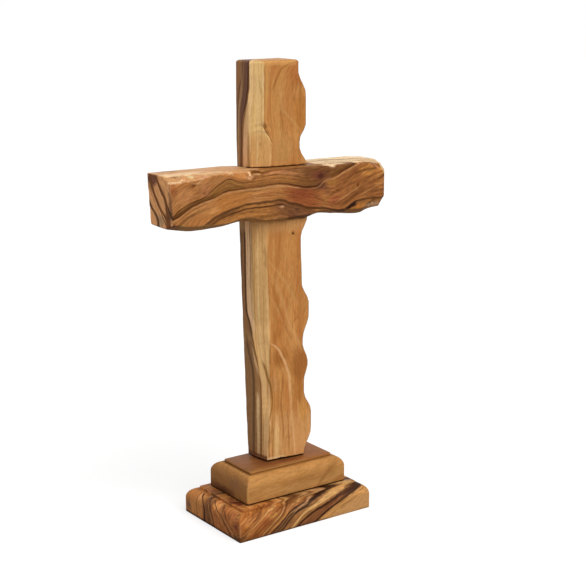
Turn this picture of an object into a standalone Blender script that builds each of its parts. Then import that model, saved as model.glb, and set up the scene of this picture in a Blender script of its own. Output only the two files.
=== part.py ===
"""A standing cross of olive wood: a carved post and crossbar halved together on a stepped, moulded base.

Metres, +Z up. The origin is the centre of the base's underside, +X runs along the arms to the
viewer's right and -Y faces the viewer. Lines carved by hand are listed in millimetres.
"""

from math import cos, pi, radians, sin

import bmesh
import bpy

MM = 0.001

# The gap left along every glued joint and round every screw
GLUE_GAP = 0.3 * MM

# Lower tier of the base
LOWER_LENGTH = 87.5 * MM
LOWER_DEPTH = 56.0 * MM
LOWER_HEIGHT = 15.4 * MM
LOWER_ROUND = 5.8 * MM
LOWER_STEP = 1.4 * MM

# Upper tier of the base
UPPER_LENGTH = 65.7 * MM
UPPER_DEPTH = 37.6 * MM
UPPER_HEIGHT = 16.0 * MM
UPPER_ROUND = 5.65 * MM
UPPER_STEP = 1.5 * MM

# The flat back that the post and the crossbar share, and how thick each is in front of it
BACK_Y = 11.2 * MM
POST_THICKNESS = 19.1 * MM
BAR_THICKNESS = 22.9 * MM

# The post, from its foot up
POST_LENGTH = 218.0 * MM
POST_WIDTH = 26.0 * MM
POST_ARRIS = 1.3 * MM
POST_FRONT_TURN = 2.3 * MM
POST_TOP_EASE = 0.9 * MM

# The crossbar: its arms from the cross's centre line, and its middle above the post's foot
LEFT_ARM = 72.6 * MM
RIGHT_ARM = 64.3 * MM
BAR_HEIGHT = 28.0 * MM
BAR_RISE = 148.5 * MM
BAR_END_SLANT = 1.7 * MM
CORNER_CUT_LENGTH = 3.0 * MM
CORNER_CUT_HEIGHT = 4.3 * MM
CORNER_ARRIS = 0.4 * MM

# How much of the post's thickness, from the back, passes behind the crossbar
LAP_THICKNESS = 9.5 * MM

# Two countersunk wood screws, driven up through the base into the post's end grain. The inset is
# from the post's left or right side to a screw's axis.
SCREW_LENGTH = 50.0 * MM
SCREW_INSET = 4.8 * MM
SCREW_SINK = 0.6 * MM
HEAD_RADIUS = 3.5 * MM
HEAD_RIM = 0.4 * MM
SHANK_RADIUS = 1.3 * MM
SHANK_LENGTH = 20.0 * MM
THREAD_RADIUS = 1.75 * MM
CORE_RADIUS = 1.1 * MM
THREAD_PITCH = 1.8 * MM
TIP_LENGTH = 5.0 * MM
RECESS_SPAN = 3.8 * MM
RECESS_WIDTH = 0.9 * MM
RECESS_DEPTH = 1.5 * MM
RECESS_TAPER = 0.45
PILOT_SPARE = 2.0 * MM

# How finely the forms are divided
CARVE_SPACING = 3.0 * MM
MOULDING_STEPS = 6
HOLE_SIDES = 24
SCREW_SIDES = 16

# Faces that meet at less than this shade as one smooth surface
SMOOTH_ANGLE = radians(25)

# How far a cutter runs past what it cuts, and a housing past the piece it is cut for
CUTTER_REACH = 5.0 * MM
HOUSING_REACH = 10.0 * MM

# The post's left edge, as straight cuts: height above the foot, and x from the nominal side
LEFT_EDGE = (
    (0, 0.6),
    (26, -0.5),
    (67, -2.0),
    (121, -3.8),
    (163, -5.1),
    (183, -5.5),
    (218, -5.2),
)

# The post's wavy right edge: where each level stretch starts and ends, and its x from the nominal side
WAVY_EDGE = (
    (0, 1, 0.3),
    (14, 25, 5.2),
    (36, 43, 0.4),
    (52, 54, 2.8),
    (64, 67, -0.5),
    (80, 87, 3.5),
    (98, 99, -1.2),
    (120, 124, -1.9),
    (134, 162, 2.3),
    (172, 176, -2.8),
    (184, 200, 1.3),
    (212, 218, -3.6),
)

# The facet carved down the post's front left: height, how far it reaches in, how far it reaches back
POST_FACET = (
    (0, 1.6, 11.9),
    (21, 3.7, 10.3),
    (39, 6.4, 9.8),
    (52, 5.6, 9.5),
    (64, 6.1, 9.3),
    (72, 5.2, 9.1),
    (97, 5.8, 7.9),
    (132, 6.1, 6.4),
    (163, 8.5, 5.7),
    (179, 9.7, 6.6),
    (189, 6.3, 7.2),
    (203, 6.2, 7.7),
    (218, 6.7, 6.9),
)

# The crossbar's hand-cut top: x, and how far it stands above its nominal line
BAR_TOP = (
    (-72, 0.8),
    (-30, 0.7),
    (-18, 0.1),
    (14, 0.0),
    (26, -0.3),
    (51, -0.4),
    (64, -1.2),
)

# Its underside, in the same way
BAR_UNDERSIDE = (
    (-72, 2.1),
    (-57, 1.0),
    (-40, 0.8),
    (-30, 2.0),
    (-23, 1.5),
    (-17, 0.2),
    (12, 0.0),
    (20, 1.6),
    (30, 0.6),
    (48, -0.5),
    (55, 1.2),
    (64, 1.7),
)

# The facet along its front top edge: x, how far it sets back, how far it drops
BAR_TOP_FACET = (
    (-72, 8.8, 5.0),
    (-66, 7.0, 3.0),
    (-58, 5.6, 2.4),
    (-45, 2.6, 1.0),
    (-38, 2.2, 0.9),
    (-31, 5.0, 3.4),
    (-24, 5.6, 4.6),
    (-17, 4.0, 3.0),
    (-8, 3.4, 1.8),
    (13, 3.0, 1.3),
    (25, 2.2, 0.9),
    (45, 2.2, 0.9),
    (52, 4.0, 1.8),
    (62, 9.2, 5.0),
)

# The facet along its front lower edge, in the same way
BAR_LOW_FACET = (
    (-72, 6.4, 2.6),
    (-60, 4.0, 2.2),
    (-38, 3.0, 1.6),
    (-24, 3.0, 2.4),
    (-12, 2.4, 1.4),
    (16, 2.4, 1.8),
    (34, 3.0, 1.8),
    (48, 3.0, 2.6),
    (56, 3.0, 4.6),
    (64, 1.2, 5.2),
)

# A facet is slightly crowned: where its crown lies, as shares of its set back and its drop
CROWN_BACK = 0.4
CROWN_DROP = 0.36

# Where the pieces stand
UPPER_Z = LOWER_HEIGHT + GLUE_GAP
POST_Z = UPPER_Z + UPPER_HEIGHT + GLUE_GAP
BAR_Z = POST_Z + BAR_RISE
POST_FRONT_Y = BACK_Y - POST_THICKNESS
BAR_FRONT_Y = BACK_Y - BAR_THICKNESS
LAP_Y = BACK_Y - LAP_THICKNESS
SCREW_Y = (POST_FRONT_Y + BACK_Y) / 2


def carved(line, place):
    """The values at a place along a carved line, which eases level at each listed place."""
    place = place / MM
    if place <= line[0][0]:
        return [value * MM for value in line[0][1:]]
    for (start, *low), (end, *high) in zip(line, line[1:]):
        if place <= end:
            share = (place - start) / (end - start)
            share = share * share * (3 - 2 * share)
            return [(a + (b - a) * share) * MM for a, b in zip(low, high)]
    return [value * MM for value in line[-1][1:]]


def straight(line, place):
    """The value at a place along a line of straight cuts."""
    place = place / MM
    for (start, low), (end, high) in zip(line, line[1:]):
        if place <= end:
            return (low + (high - low) * (place - start) / (end - start)) * MM
    return line[-1][1] * MM


def spaced(start, end):
    """Even places from start to end, about the carving spacing apart."""
    steps = max(1, round((end - start) / CARVE_SPACING))
    return [start + (end - start) * step / steps for step in range(steps + 1)]


def left_edge(height):
    return -POST_WIDTH / 2 + straight(LEFT_EDGE, height)


def right_edge(height):
    ends = [(place, x) for start, end, x in WAVY_EDGE for place in (start, end)]
    return POST_WIDTH / 2 + carved(ends, height)[0]


def bar_top(x):
    return BAR_HEIGHT / 2 + carved(BAR_TOP, x)[0]


def bar_underside(x):
    return -BAR_HEIGHT / 2 + carved(BAR_UNDERSIDE, x)[0]


def material(name, colour, roughness, metallic=0.0):
    """A plain surface in a linear colour."""
    made = bpy.data.materials.new(name)
    made.use_nodes = True
    shader = made.node_tree.nodes["Principled BSDF"]
    shader.inputs["Base Color"].default_value = (*colour, 1.0)
    shader.inputs["Roughness"].default_value = roughness
    shader.inputs["Metallic"].default_value = metallic
    made.diffuse_color = (*colour, 1.0)
    return made


def placed(name, shape, location, surface=None):
    """Turns a finished shape into an object standing at its location."""
    bmesh.ops.recalc_face_normals(shape, faces=shape.faces)
    mesh = bpy.data.meshes.new(name)
    shape.to_mesh(mesh)
    shape.free()
    mesh.shade_smooth()
    mesh.set_sharp_from_angle(angle=SMOOTH_ANGLE)
    piece = bpy.data.objects.new(name, mesh)
    piece.location = location
    bpy.context.scene.collection.objects.link(piece)
    if surface:
        mesh.materials.append(surface)
    return piece


def loft(sections):
    """A closed shape through sections with the same number of points, capped at both ends."""
    shape = bmesh.new()
    rings = [[shape.verts.new(point) for point in section] for section in sections]
    for low, high in zip(rings, rings[1:]):
        for i in range(len(low)):
            j = (i + 1) % len(low)
            shape.faces.new((low[i], low[j], high[j], high[i]))
    shape.faces.new(rings[0])
    shape.faces.new(rings[-1])
    return shape


def ring(radius, z, sides):
    """A level circle about the local Z axis."""
    return [(radius * cos(2 * pi * i / sides), radius * sin(2 * pi * i / sides), z) for i in range(sides)]


def cutter(name, shape, location):
    """A shape that only cuts others and isn't part of the cross."""
    tool = placed(name, shape, location)
    tool.hide_render = True
    tool.display_type = "WIRE"
    return tool


def cut(piece, tool):
    boolean = piece.modifiers.new("cut by " + tool.name, "BOOLEAN")
    boolean.operation = "DIFFERENCE"
    boolean.solver = "EXACT"
    boolean.object = tool


def moulded_block(length, depth, height, rounding, step):
    """A block whose top edges carry a quarter round with a small square step above it."""
    shoulder = height - step - rounding
    profile = [(0.0, 0.0)]
    for i in range(MOULDING_STEPS + 1):
        angle = pi / 2 * i / MOULDING_STEPS
        profile.append((rounding * (1 - cos(angle)), shoulder + rounding * sin(angle)))
    profile.append((rounding, height))
    sections = []
    for inset, z in profile:
        x = length / 2 - inset
        y = depth / 2 - inset
        sections.append([(-x, -y, z), (x, -y, z), (x, y, z), (-x, y, z)])
    return loft(sections)


def post_section(height, ease):
    """The post's outline at a height, drawn in all round by the ease at its top."""
    left = left_edge(height) + ease
    right = right_edge(height) - ease
    back = BACK_Y - ease
    front = POST_FRONT_Y + ease
    facet_in, facet_back = carved(POST_FACET, height)
    return [
        (left, back, height),
        (left, front + facet_back, height),
        (left + facet_in, front + POST_FRONT_TURN, height),
        (right - POST_ARRIS, front, height),
        (right, front + POST_ARRIS, height),
        (right, back, height),
    ]


def post_heights():
    return spaced(0.0, POST_LENGTH - POST_TOP_EASE)


def post_shape():
    sections = [post_section(height, 0.0) for height in post_heights()]
    sections.append(post_section(POST_LENGTH, POST_TOP_EASE))
    return loft(sections)


def bar_section(x, slant):
    """The crossbar's outline at x. The slant leans a section back from its top to its underside."""
    top = bar_top(x)
    underside = bar_underside(x)
    top_back, top_drop = carved(BAR_TOP_FACET, x)
    low_back, low_rise = carved(BAR_LOW_FACET, x)
    to_corner = max(0.0, 1 - (RIGHT_ARM - x) / CORNER_CUT_LENGTH)
    raised = underside + CORNER_CUT_HEIGHT * to_corner
    front_low = max(underside + low_rise, raised + CORNER_ARRIS)
    outline = [
        (BACK_Y, top),
        (BAR_FRONT_Y + top_back, top),
        (BAR_FRONT_Y + top_back * CROWN_BACK, top - top_drop * CROWN_DROP),
        (BAR_FRONT_Y, top - top_drop),
        (BAR_FRONT_Y, front_low),
        (BAR_FRONT_Y + low_back, raised),
        (BACK_Y, raised),
    ]
    return [(x + slant * (top - z) / (top - raised), y, z) for y, z in outline]


def bar_places():
    return spaced(-LEFT_ARM + CARVE_SPACING, RIGHT_ARM)


def bar_shape():
    sections = [bar_section(x, 0.0) for x in bar_places()]
    return loft([bar_section(-LEFT_ARM, BAR_END_SLANT)] + sections)


def post_housing():
    """What the crossbar leaves free for the post: its back part and a gap, through the bar's height."""
    front = LAP_Y - GLUE_GAP / 2
    back = BACK_Y + CUTTER_REACH
    reach = BAR_HEIGHT / 2 + HOUSING_REACH
    heights = [height for height in post_heights() if abs(height - BAR_RISE) < reach]
    sections = []
    for height in heights:
        left = left_edge(height) - GLUE_GAP
        right = right_edge(height) + GLUE_GAP
        z = height - BAR_RISE
        sections.append([(left, front, z), (right, front, z), (right, back, z), (left, back, z)])
    return loft(sections)


def bar_housing():
    """What the post leaves free for the crossbar: the front part of its thickness and a gap."""
    front = BAR_FRONT_Y - CUTTER_REACH
    back = LAP_Y + GLUE_GAP / 2
    left = left_edge(BAR_RISE) - HOUSING_REACH
    right = right_edge(BAR_RISE) + HOUSING_REACH
    places = [x for x in bar_places() if left < x < right]
    sections = []
    for x in places:
        top = bar_top(x) + GLUE_GAP
        underside = bar_underside(x) - GLUE_GAP
        sections.append([(x, front, underside), (x, back, underside), (x, back, top), (x, front, top)])
    return loft(sections)


def screw_hole():
    """The hole for one screw, from below its head to beyond its point, a gap wider all round."""
    wide = HEAD_RADIUS + GLUE_GAP
    narrow = THREAD_RADIUS + GLUE_GAP
    rim = HEAD_RIM + GLUE_GAP
    profile = [
        (wide, -CUTTER_REACH),
        (wide, rim),
        (narrow, rim + wide - narrow),
        (narrow, SCREW_LENGTH + PILOT_SPARE),
    ]
    return loft([ring(radius, z, HOLE_SIDES) for radius, z in profile])


def thread_points(shape, turns):
    """The thread's root and crest points, one for each step along its helix, which starts half a
    pitch above the shank. The crest lies half a pitch above its root and grows out of the core over
    the first turn and back over the last."""
    steps = turns * SCREW_SIDES
    crest_steps = steps - SCREW_SIDES
    roots = []
    crests = []
    for i in range(steps + 1):
        angle = 2 * pi * i / SCREW_SIDES
        z = SHANK_LENGTH + THREAD_PITCH / 2 + THREAD_PITCH * i / SCREW_SIDES
        narrowing = min(1.0, (SCREW_LENGTH - z) / TIP_LENGTH)
        root = CORE_RADIUS * narrowing
        roots.append(shape.verts.new((root * cos(angle), root * sin(angle), z)))
        if i <= crest_steps:
            grown = min(1.0, i / SCREW_SIDES, (crest_steps - i) / SCREW_SIDES)
            crest = root + (THREAD_RADIUS - CORE_RADIUS) * grown * narrowing
            crests.append(shape.verts.new((crest * cos(angle), crest * sin(angle), z + THREAD_PITCH / 2)))
    return roots, crests


def screw_shape():
    """A countersunk screw pointing up: head, smooth shank, and a helical thread that runs to the point."""
    shape = bmesh.new()
    profile = [
        (HEAD_RADIUS, 0.0),
        (HEAD_RADIUS, HEAD_RIM),
        (SHANK_RADIUS, HEAD_RIM + HEAD_RADIUS - SHANK_RADIUS),
        (SHANK_RADIUS, SHANK_LENGTH),
    ]
    rings = [[shape.verts.new(point) for point in ring(radius, z, SCREW_SIDES)] for radius, z in profile]
    shape.faces.new(rings[0])
    for low, high in zip(rings, rings[1:]):
        for i in range(SCREW_SIDES):
            j = (i + 1) % SCREW_SIDES
            shape.faces.new((low[i], low[j], high[j], high[i]))

    turns = int((SCREW_LENGTH - SHANK_LENGTH) / THREAD_PITCH) - 1
    roots, crests = thread_points(shape, turns)
    shank_end = rings[-1]
    for i in range(SCREW_SIDES):
        j = (i + 1) % SCREW_SIDES
        shape.faces.new((shank_end[i], shank_end[j], roots[i + 1], roots[i]))
    shape.faces.new((shank_end[0], roots[0], crests[0], roots[SCREW_SIDES]))

    for i in range(len(crests) - 1):
        above = i + SCREW_SIDES
        shape.faces.new((roots[i], roots[i + 1], crests[i + 1], crests[i]))
        shape.faces.new((crests[i], crests[i + 1], roots[above + 1], roots[above]))

    tip = shape.verts.new((0.0, 0.0, SCREW_LENGTH))
    last_turn = roots[len(crests) - 1:]
    for low, high in zip(last_turn, last_turn[1:]):
        shape.faces.new((low, high, tip))
    shape.faces.new((tip, last_turn[-1], crests[-1], last_turn[0]))
    return shape


def recess_shape():
    """The cross-shaped driver recess, narrowing into the head."""
    sections = []
    for z, share in ((-CUTTER_REACH, 1.0), (0.0, 1.0), (RECESS_DEPTH, RECESS_TAPER)):
        span = RECESS_SPAN / 2 * share
        half = RECESS_WIDTH / 2 * share
        corner = [(span, -half), (span, half), (half, half)]
        outline = []
        for _ in range(4):
            outline += [(x, y, z) for x, y in corner]
            corner = [(-y, x) for x, y in corner]
        sections.append(outline)
    return loft(sections)


def clear_scene():
    for thing in list(bpy.data.objects):
        bpy.data.objects.remove(thing, do_unlink=True)


def make_base():
    """The two tiers, with the screw holes still to cut."""
    figured = material("figured_olive", (0.45, 0.20, 0.065), 0.38)
    plain = material("plain_olive", (0.48, 0.23, 0.065), 0.38)
    lower = moulded_block(LOWER_LENGTH, LOWER_DEPTH, LOWER_HEIGHT, LOWER_ROUND, LOWER_STEP)
    upper = moulded_block(UPPER_LENGTH, UPPER_DEPTH, UPPER_HEIGHT, UPPER_ROUND, UPPER_STEP)
    return [
        placed("lower_plinth", lower, (0.0, 0.0, 0.0), figured),
        placed("upper_plinth", upper, (0.0, 0.0, UPPER_Z), plain),
    ]


def make_cross():
    """The post and the crossbar, halved together flush at the back."""
    pale = material("pale_olive", (0.54, 0.26, 0.075), 0.38)
    veined = material("veined_olive", (0.40, 0.17, 0.055), 0.38)
    post = placed("upright_post", post_shape(), (0.0, 0.0, POST_Z), pale)
    bar = placed("crossbar", bar_shape(), (0.0, 0.0, BAR_Z), veined)
    cut(post, cutter("bar housing", bar_housing(), (0.0, 0.0, BAR_Z)))
    cut(bar, cutter("post housing", post_housing(), (0.0, 0.0, BAR_Z)))
    return post


def make_screws(drilled):
    """The two screws, and their holes through every drilled piece."""
    steel = material("zinc_plated_steel", (0.55, 0.53, 0.48), 0.35, 1.0)
    left = left_edge(0.0) + SCREW_INSET
    right = right_edge(0.0) - SCREW_INSET
    for side, x in (("left", left), ("right", right)):
        location = (x, SCREW_Y, SCREW_SINK)
        screw = placed("post_screw_" + side, screw_shape(), location, steel)
        cut(screw, cutter("recess " + side, recess_shape(), location))
        hole = cutter("hole " + side, screw_hole(), location)
        for piece in drilled:
            cut(piece, hole)


def build():
    clear_scene()
    tiers = make_base()
    post = make_cross()
    make_screws(tiers + [post])


build()
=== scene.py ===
import math

import bmesh
import bpy
import numpy as np
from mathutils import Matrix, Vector, noise


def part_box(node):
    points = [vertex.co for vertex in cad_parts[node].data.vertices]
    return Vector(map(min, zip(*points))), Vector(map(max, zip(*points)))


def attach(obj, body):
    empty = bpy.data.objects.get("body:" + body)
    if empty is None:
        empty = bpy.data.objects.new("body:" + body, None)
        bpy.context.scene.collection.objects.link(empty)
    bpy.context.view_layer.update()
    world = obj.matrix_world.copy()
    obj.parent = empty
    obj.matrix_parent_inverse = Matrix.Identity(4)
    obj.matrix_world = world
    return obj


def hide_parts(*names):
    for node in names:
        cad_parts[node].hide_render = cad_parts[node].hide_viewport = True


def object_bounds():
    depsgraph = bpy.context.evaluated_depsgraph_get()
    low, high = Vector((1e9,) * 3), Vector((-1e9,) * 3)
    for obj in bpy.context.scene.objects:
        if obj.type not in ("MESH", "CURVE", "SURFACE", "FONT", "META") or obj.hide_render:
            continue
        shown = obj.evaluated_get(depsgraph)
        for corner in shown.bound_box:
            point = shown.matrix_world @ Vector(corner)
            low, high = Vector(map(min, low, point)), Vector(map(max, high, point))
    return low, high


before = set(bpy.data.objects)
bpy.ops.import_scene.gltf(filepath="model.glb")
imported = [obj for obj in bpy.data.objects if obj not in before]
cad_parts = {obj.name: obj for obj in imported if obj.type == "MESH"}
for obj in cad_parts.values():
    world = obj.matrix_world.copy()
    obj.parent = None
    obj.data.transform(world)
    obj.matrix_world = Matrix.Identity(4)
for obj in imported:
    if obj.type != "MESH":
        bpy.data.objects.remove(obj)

cadLow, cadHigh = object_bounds()
mm = 0.001
screwNodes = ("post_screw_left", "post_screw_right")
smoothStep = {"interpolation_type": "SMOOTHSTEP"}
mixColours = {"data_type": "RGBA"}


# Small helpers

def hexColour(text):
    # An sRGB hex colour as the linear values that the shader works in
    parts = [int(text[i:i + 2], 16) / 255 for i in (1, 3, 5)]
    linear = [part / 12.92 if part <= 0.04045 else ((part + 0.055) / 1.055) ** 2.4 for part in parts]
    return (*linear, 1.0)


def feed(tree, node, inputs):
    # A value or a link for each input named. A node given as a value stands for its first output.
    for name, value in inputs.items():
        if isinstance(value, bpy.types.Node):
            value = value.outputs[0]
        if isinstance(value, bpy.types.NodeSocket):
            tree.links.new(value, node.inputs[name])
        else:
            node.inputs[name].default_value = value


def addNode(tree, kind, settings=None, inputs=None, points=None):
    # One node with its settings, of which a single word is its operation, what feeds it, and the points of
    # its curve or ramp
    made = tree.nodes.new("ShaderNode" + kind)
    if isinstance(settings, str):
        settings = {"operation": settings}
    for name, value in (settings or {}).items():
        setattr(made, name, value)
    feed(tree, made, inputs or {})
    if points and hasattr(made, "color_ramp"):
        for i, (spot, tint) in enumerate(points):
            stop = made.color_ramp.elements[i] if i < 2 else made.color_ramp.elements.new(spot)
            stop.position = spot
            stop.color = (*tint, 1.0)
    elif points:
        made.mapping.use_clip = False
        spots = made.mapping.curves[0].points
        for x, y in points[2:]:
            spots.new(x, y)
        for spot, place in zip(spots, points):
            spot.location = place
            spot.handle_type = "AUTO_CLAMPED"
        made.mapping.update()
    return made


def newMaterial(name):
    made = bpy.data.materials.new(name)
    made.use_nodes = True
    return made, made.node_tree, made.node_tree.nodes["Principled BSDF"]


def addObject(name, data):
    made = bpy.data.objects.new(name, data)
    bpy.context.scene.collection.objects.link(made)
    return made


def addPiece(name, mesh, node, look):
    # A wooden piece that stands for a CAD node and moves with the one rigid body
    piece = addObject(name, mesh)
    mesh.materials.clear()
    mesh.materials.append(oliveWood(look))
    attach(piece, "root")
    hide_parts(node)
    print(name + ":", len(mesh.polygons), "faces")


# Olive wood: the growth layers of a piece, and the marks that its figure is drawn with

# What the four pieces share. A piece's own dictionary comes before it.
waxedOlive = {
    "raggedReach": 4.0,             # mm, how far the outlines of blotches wander
    "raggedSize": 5.0,              # mm
    "waverDetail": 3.0,
    "fibreSize": (3.2, 0.55, 1.4),  # mm. Real fibre is near 0.05 mm across: drawn coarser, so that it shows
    "poreSize": (3.0, 0.5, 1.5),
    "speckleSize": (0.9, 0.9, 0.9),
    # Detail and distortion of each noise that is drawn out along the grain
    "grainNoise": {"mottle": (2.0, 0.4), "broad": (3.0, 0.6), "thin": (3.0, 0.3), "ring": (1.0, 0.5),
                   "fibre": (2.0, 0.0), "pore": (1.0, 0.0), "speckle": (1.0, 0.0)},
    "noiseRoughness": 0.6,
    "noiseRange": (0.3, 0.7),       # noise seldom passes these values
    "breakRange": (0.38, 0.55),     # where a broken mark is gone, and where it is whole
    "crispEdge": 0.45,              # mm: a mark with softer edges than this also starts and ends raggedly
    "endRange": (0.55, 0.95),       # how far a face turns to the grain before its end grain darkens
    "underShadeRange": (-0.6, -0.05),    # how far a face turns down, from dark to light
    "underside": 0.5,               # brightness of a face that looks down, as painted shade
    "poreRange": (0.68, 0.78),      # the noise from which a pore starts, and at which it is darkest
    "poreShade": 0.35,
    "roughness": 0.48,              # wax rubbed out by hand
    "dullDark": 0.05,               # roughness added in dark streaks
    "glossPale": 0.04,              # and taken off pale ones
    "IOR": 1.45,
    "specular": 0.12,               # low, as the thin wax leaves the fibres open
    "poreDepth": -1.5,              # beside a fibre's height of 1
    "streakHeight": 1.2,
    "bumpHeight": 0.15,             # mm
}

# Faces that marks keep to: a direction, how far a face turns to it for a mark to start, and to show in full
levelTop = ((0, 0, 1), 0.8, 0.95)
frontSide = ((0, -1, 0), 0.2, 0.6)
leftSide = ((-1, 0, 0), 0.2, 0.5)
leftTurn = ((-1, 0, 0), 0.15, 0.4)
upperLeft = ((-1, 0, 0), 0.2, 0.6)
sawnEnd = ((-1, 0, 0), 0.6, 0.85)


def patch(colour, **bounds):
    # Everything within its bounds
    return dict(bounds, colour=colour)


def blot(colour, at, size, amount=1.0, blur=0.6, **bounds):
    # A round spot with its half axes in millimetres. Blur is the share of them that it fades over.
    return dict(bounds, colour=colour, at=at, size=size, amount=amount, blur=blur)


def vein(colour, line, width, soft=1.0, shown=None, **bounds):
    # A stripe along a line. Shown gives its strength at places along the grain.
    return dict(bounds, colour=colour, line=line, width=width, soft=soft, shown=shown)


def between(start, full, fading, end, share=1):
    # Where along the grain a mark starts, shows at its share, fades again and ends
    return [(start, 0), (full, share), (fading, share), (end, 0)]


def gapTo(tree, wood, mark, line):
    # How far beyond a line each place lies, in millimetres. A line is a named guide of the piece or its own
    # points, and runs through the growth layers, over the face or up the end of the piece, as its mark says.
    if isinstance(line, str):
        return wood["gaps"][line]
    run, height = wood[mark.get("on", "layers")]
    level = addNode(tree, "FloatCurve", None, {"Value": run}, line)
    return addNode(tree, "Math", "SUBTRACT", {0: height, 1: level})


def markMask(tree, wood, mark):
    # How strongly a mark shows at each place: everything that bounds it, multiplied together
    half = mark.get("soft", 1.0) / 2
    bounds = []     # a value, where the mark starts to show, and where it shows in full
    if "over" in mark:
        up = mark.get("up", 0)
        bounds.append((gapTo(tree, wood, mark, mark["over"]), up - half, up + half))
    if "under" in mark:
        down = mark.get("down", 0)
        bounds.append((gapTo(tree, wood, mark, mark["under"]), down + half, down - half))
    if "line" in mark:
        gap = gapTo(tree, wood, mark, mark["line"])
        low, high = (mark.get("offset", 0) + side * mark["width"] / 2 for side in (-1, 1))
        bounds += [(gap, low - half, low + half), (gap, high + half, high - half)]
    for axis in "XYZ":
        if axis in mark:
            low, high = mark[axis]
            bounds += [(wood[axis], low - half, low + half), (wood[axis], high + half, high - half)]
    if "at" in mark:
        away = addNode(tree, "VectorMath", "SUBTRACT", {0: wood["rumpled"], 1: mark["at"]})
        away = addNode(tree, "VectorMath", "DIVIDE", {0: away, 1: mark["size"]})
        away = addNode(tree, "VectorMath", "LENGTH", {0: away})
        bounds.append((away.outputs["Value"], 1.0, 1.0 - mark["blur"]))
    if "faces" in mark:
        toward, start, full = mark["faces"]
        turned = addNode(tree, "VectorMath", "DOT_PRODUCT", {0: wood["normal"], 1: toward})
        bounds.append((turned.outputs["Value"], start, full))
    shares = []
    for value, start, full in bounds:
        shares.append(addNode(tree, "MapRange", smoothStep,
                              {"Value": value, "From Min": start, "From Max": full}))
    if mark.get("shown"):
        run = wood["raggedAlong"] if half > wood["crispEdge"] else wood["along"]
        shares.append(addNode(tree, "FloatCurve", None, {"Value": run}, mark["shown"]))
    for key, pattern in (("broken", "thin"), ("speckled", "speckle")):
        if key in mark:
            gone, whole = wood["breakRange"]
            shares.append(addNode(tree, "MapRange", None,
                                  {"Value": wood[pattern], "From Min": gone, "From Max": whole,
                                   "To Min": 1 - mark[key], "To Max": 1.0}))
    mask = mark.get("amount", 1.0)
    for share in shares:
        mask = addNode(tree, "Math", {"operation": "MULTIPLY", "use_clamp": True}, {0: share, 1: mask})
    return mask


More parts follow.
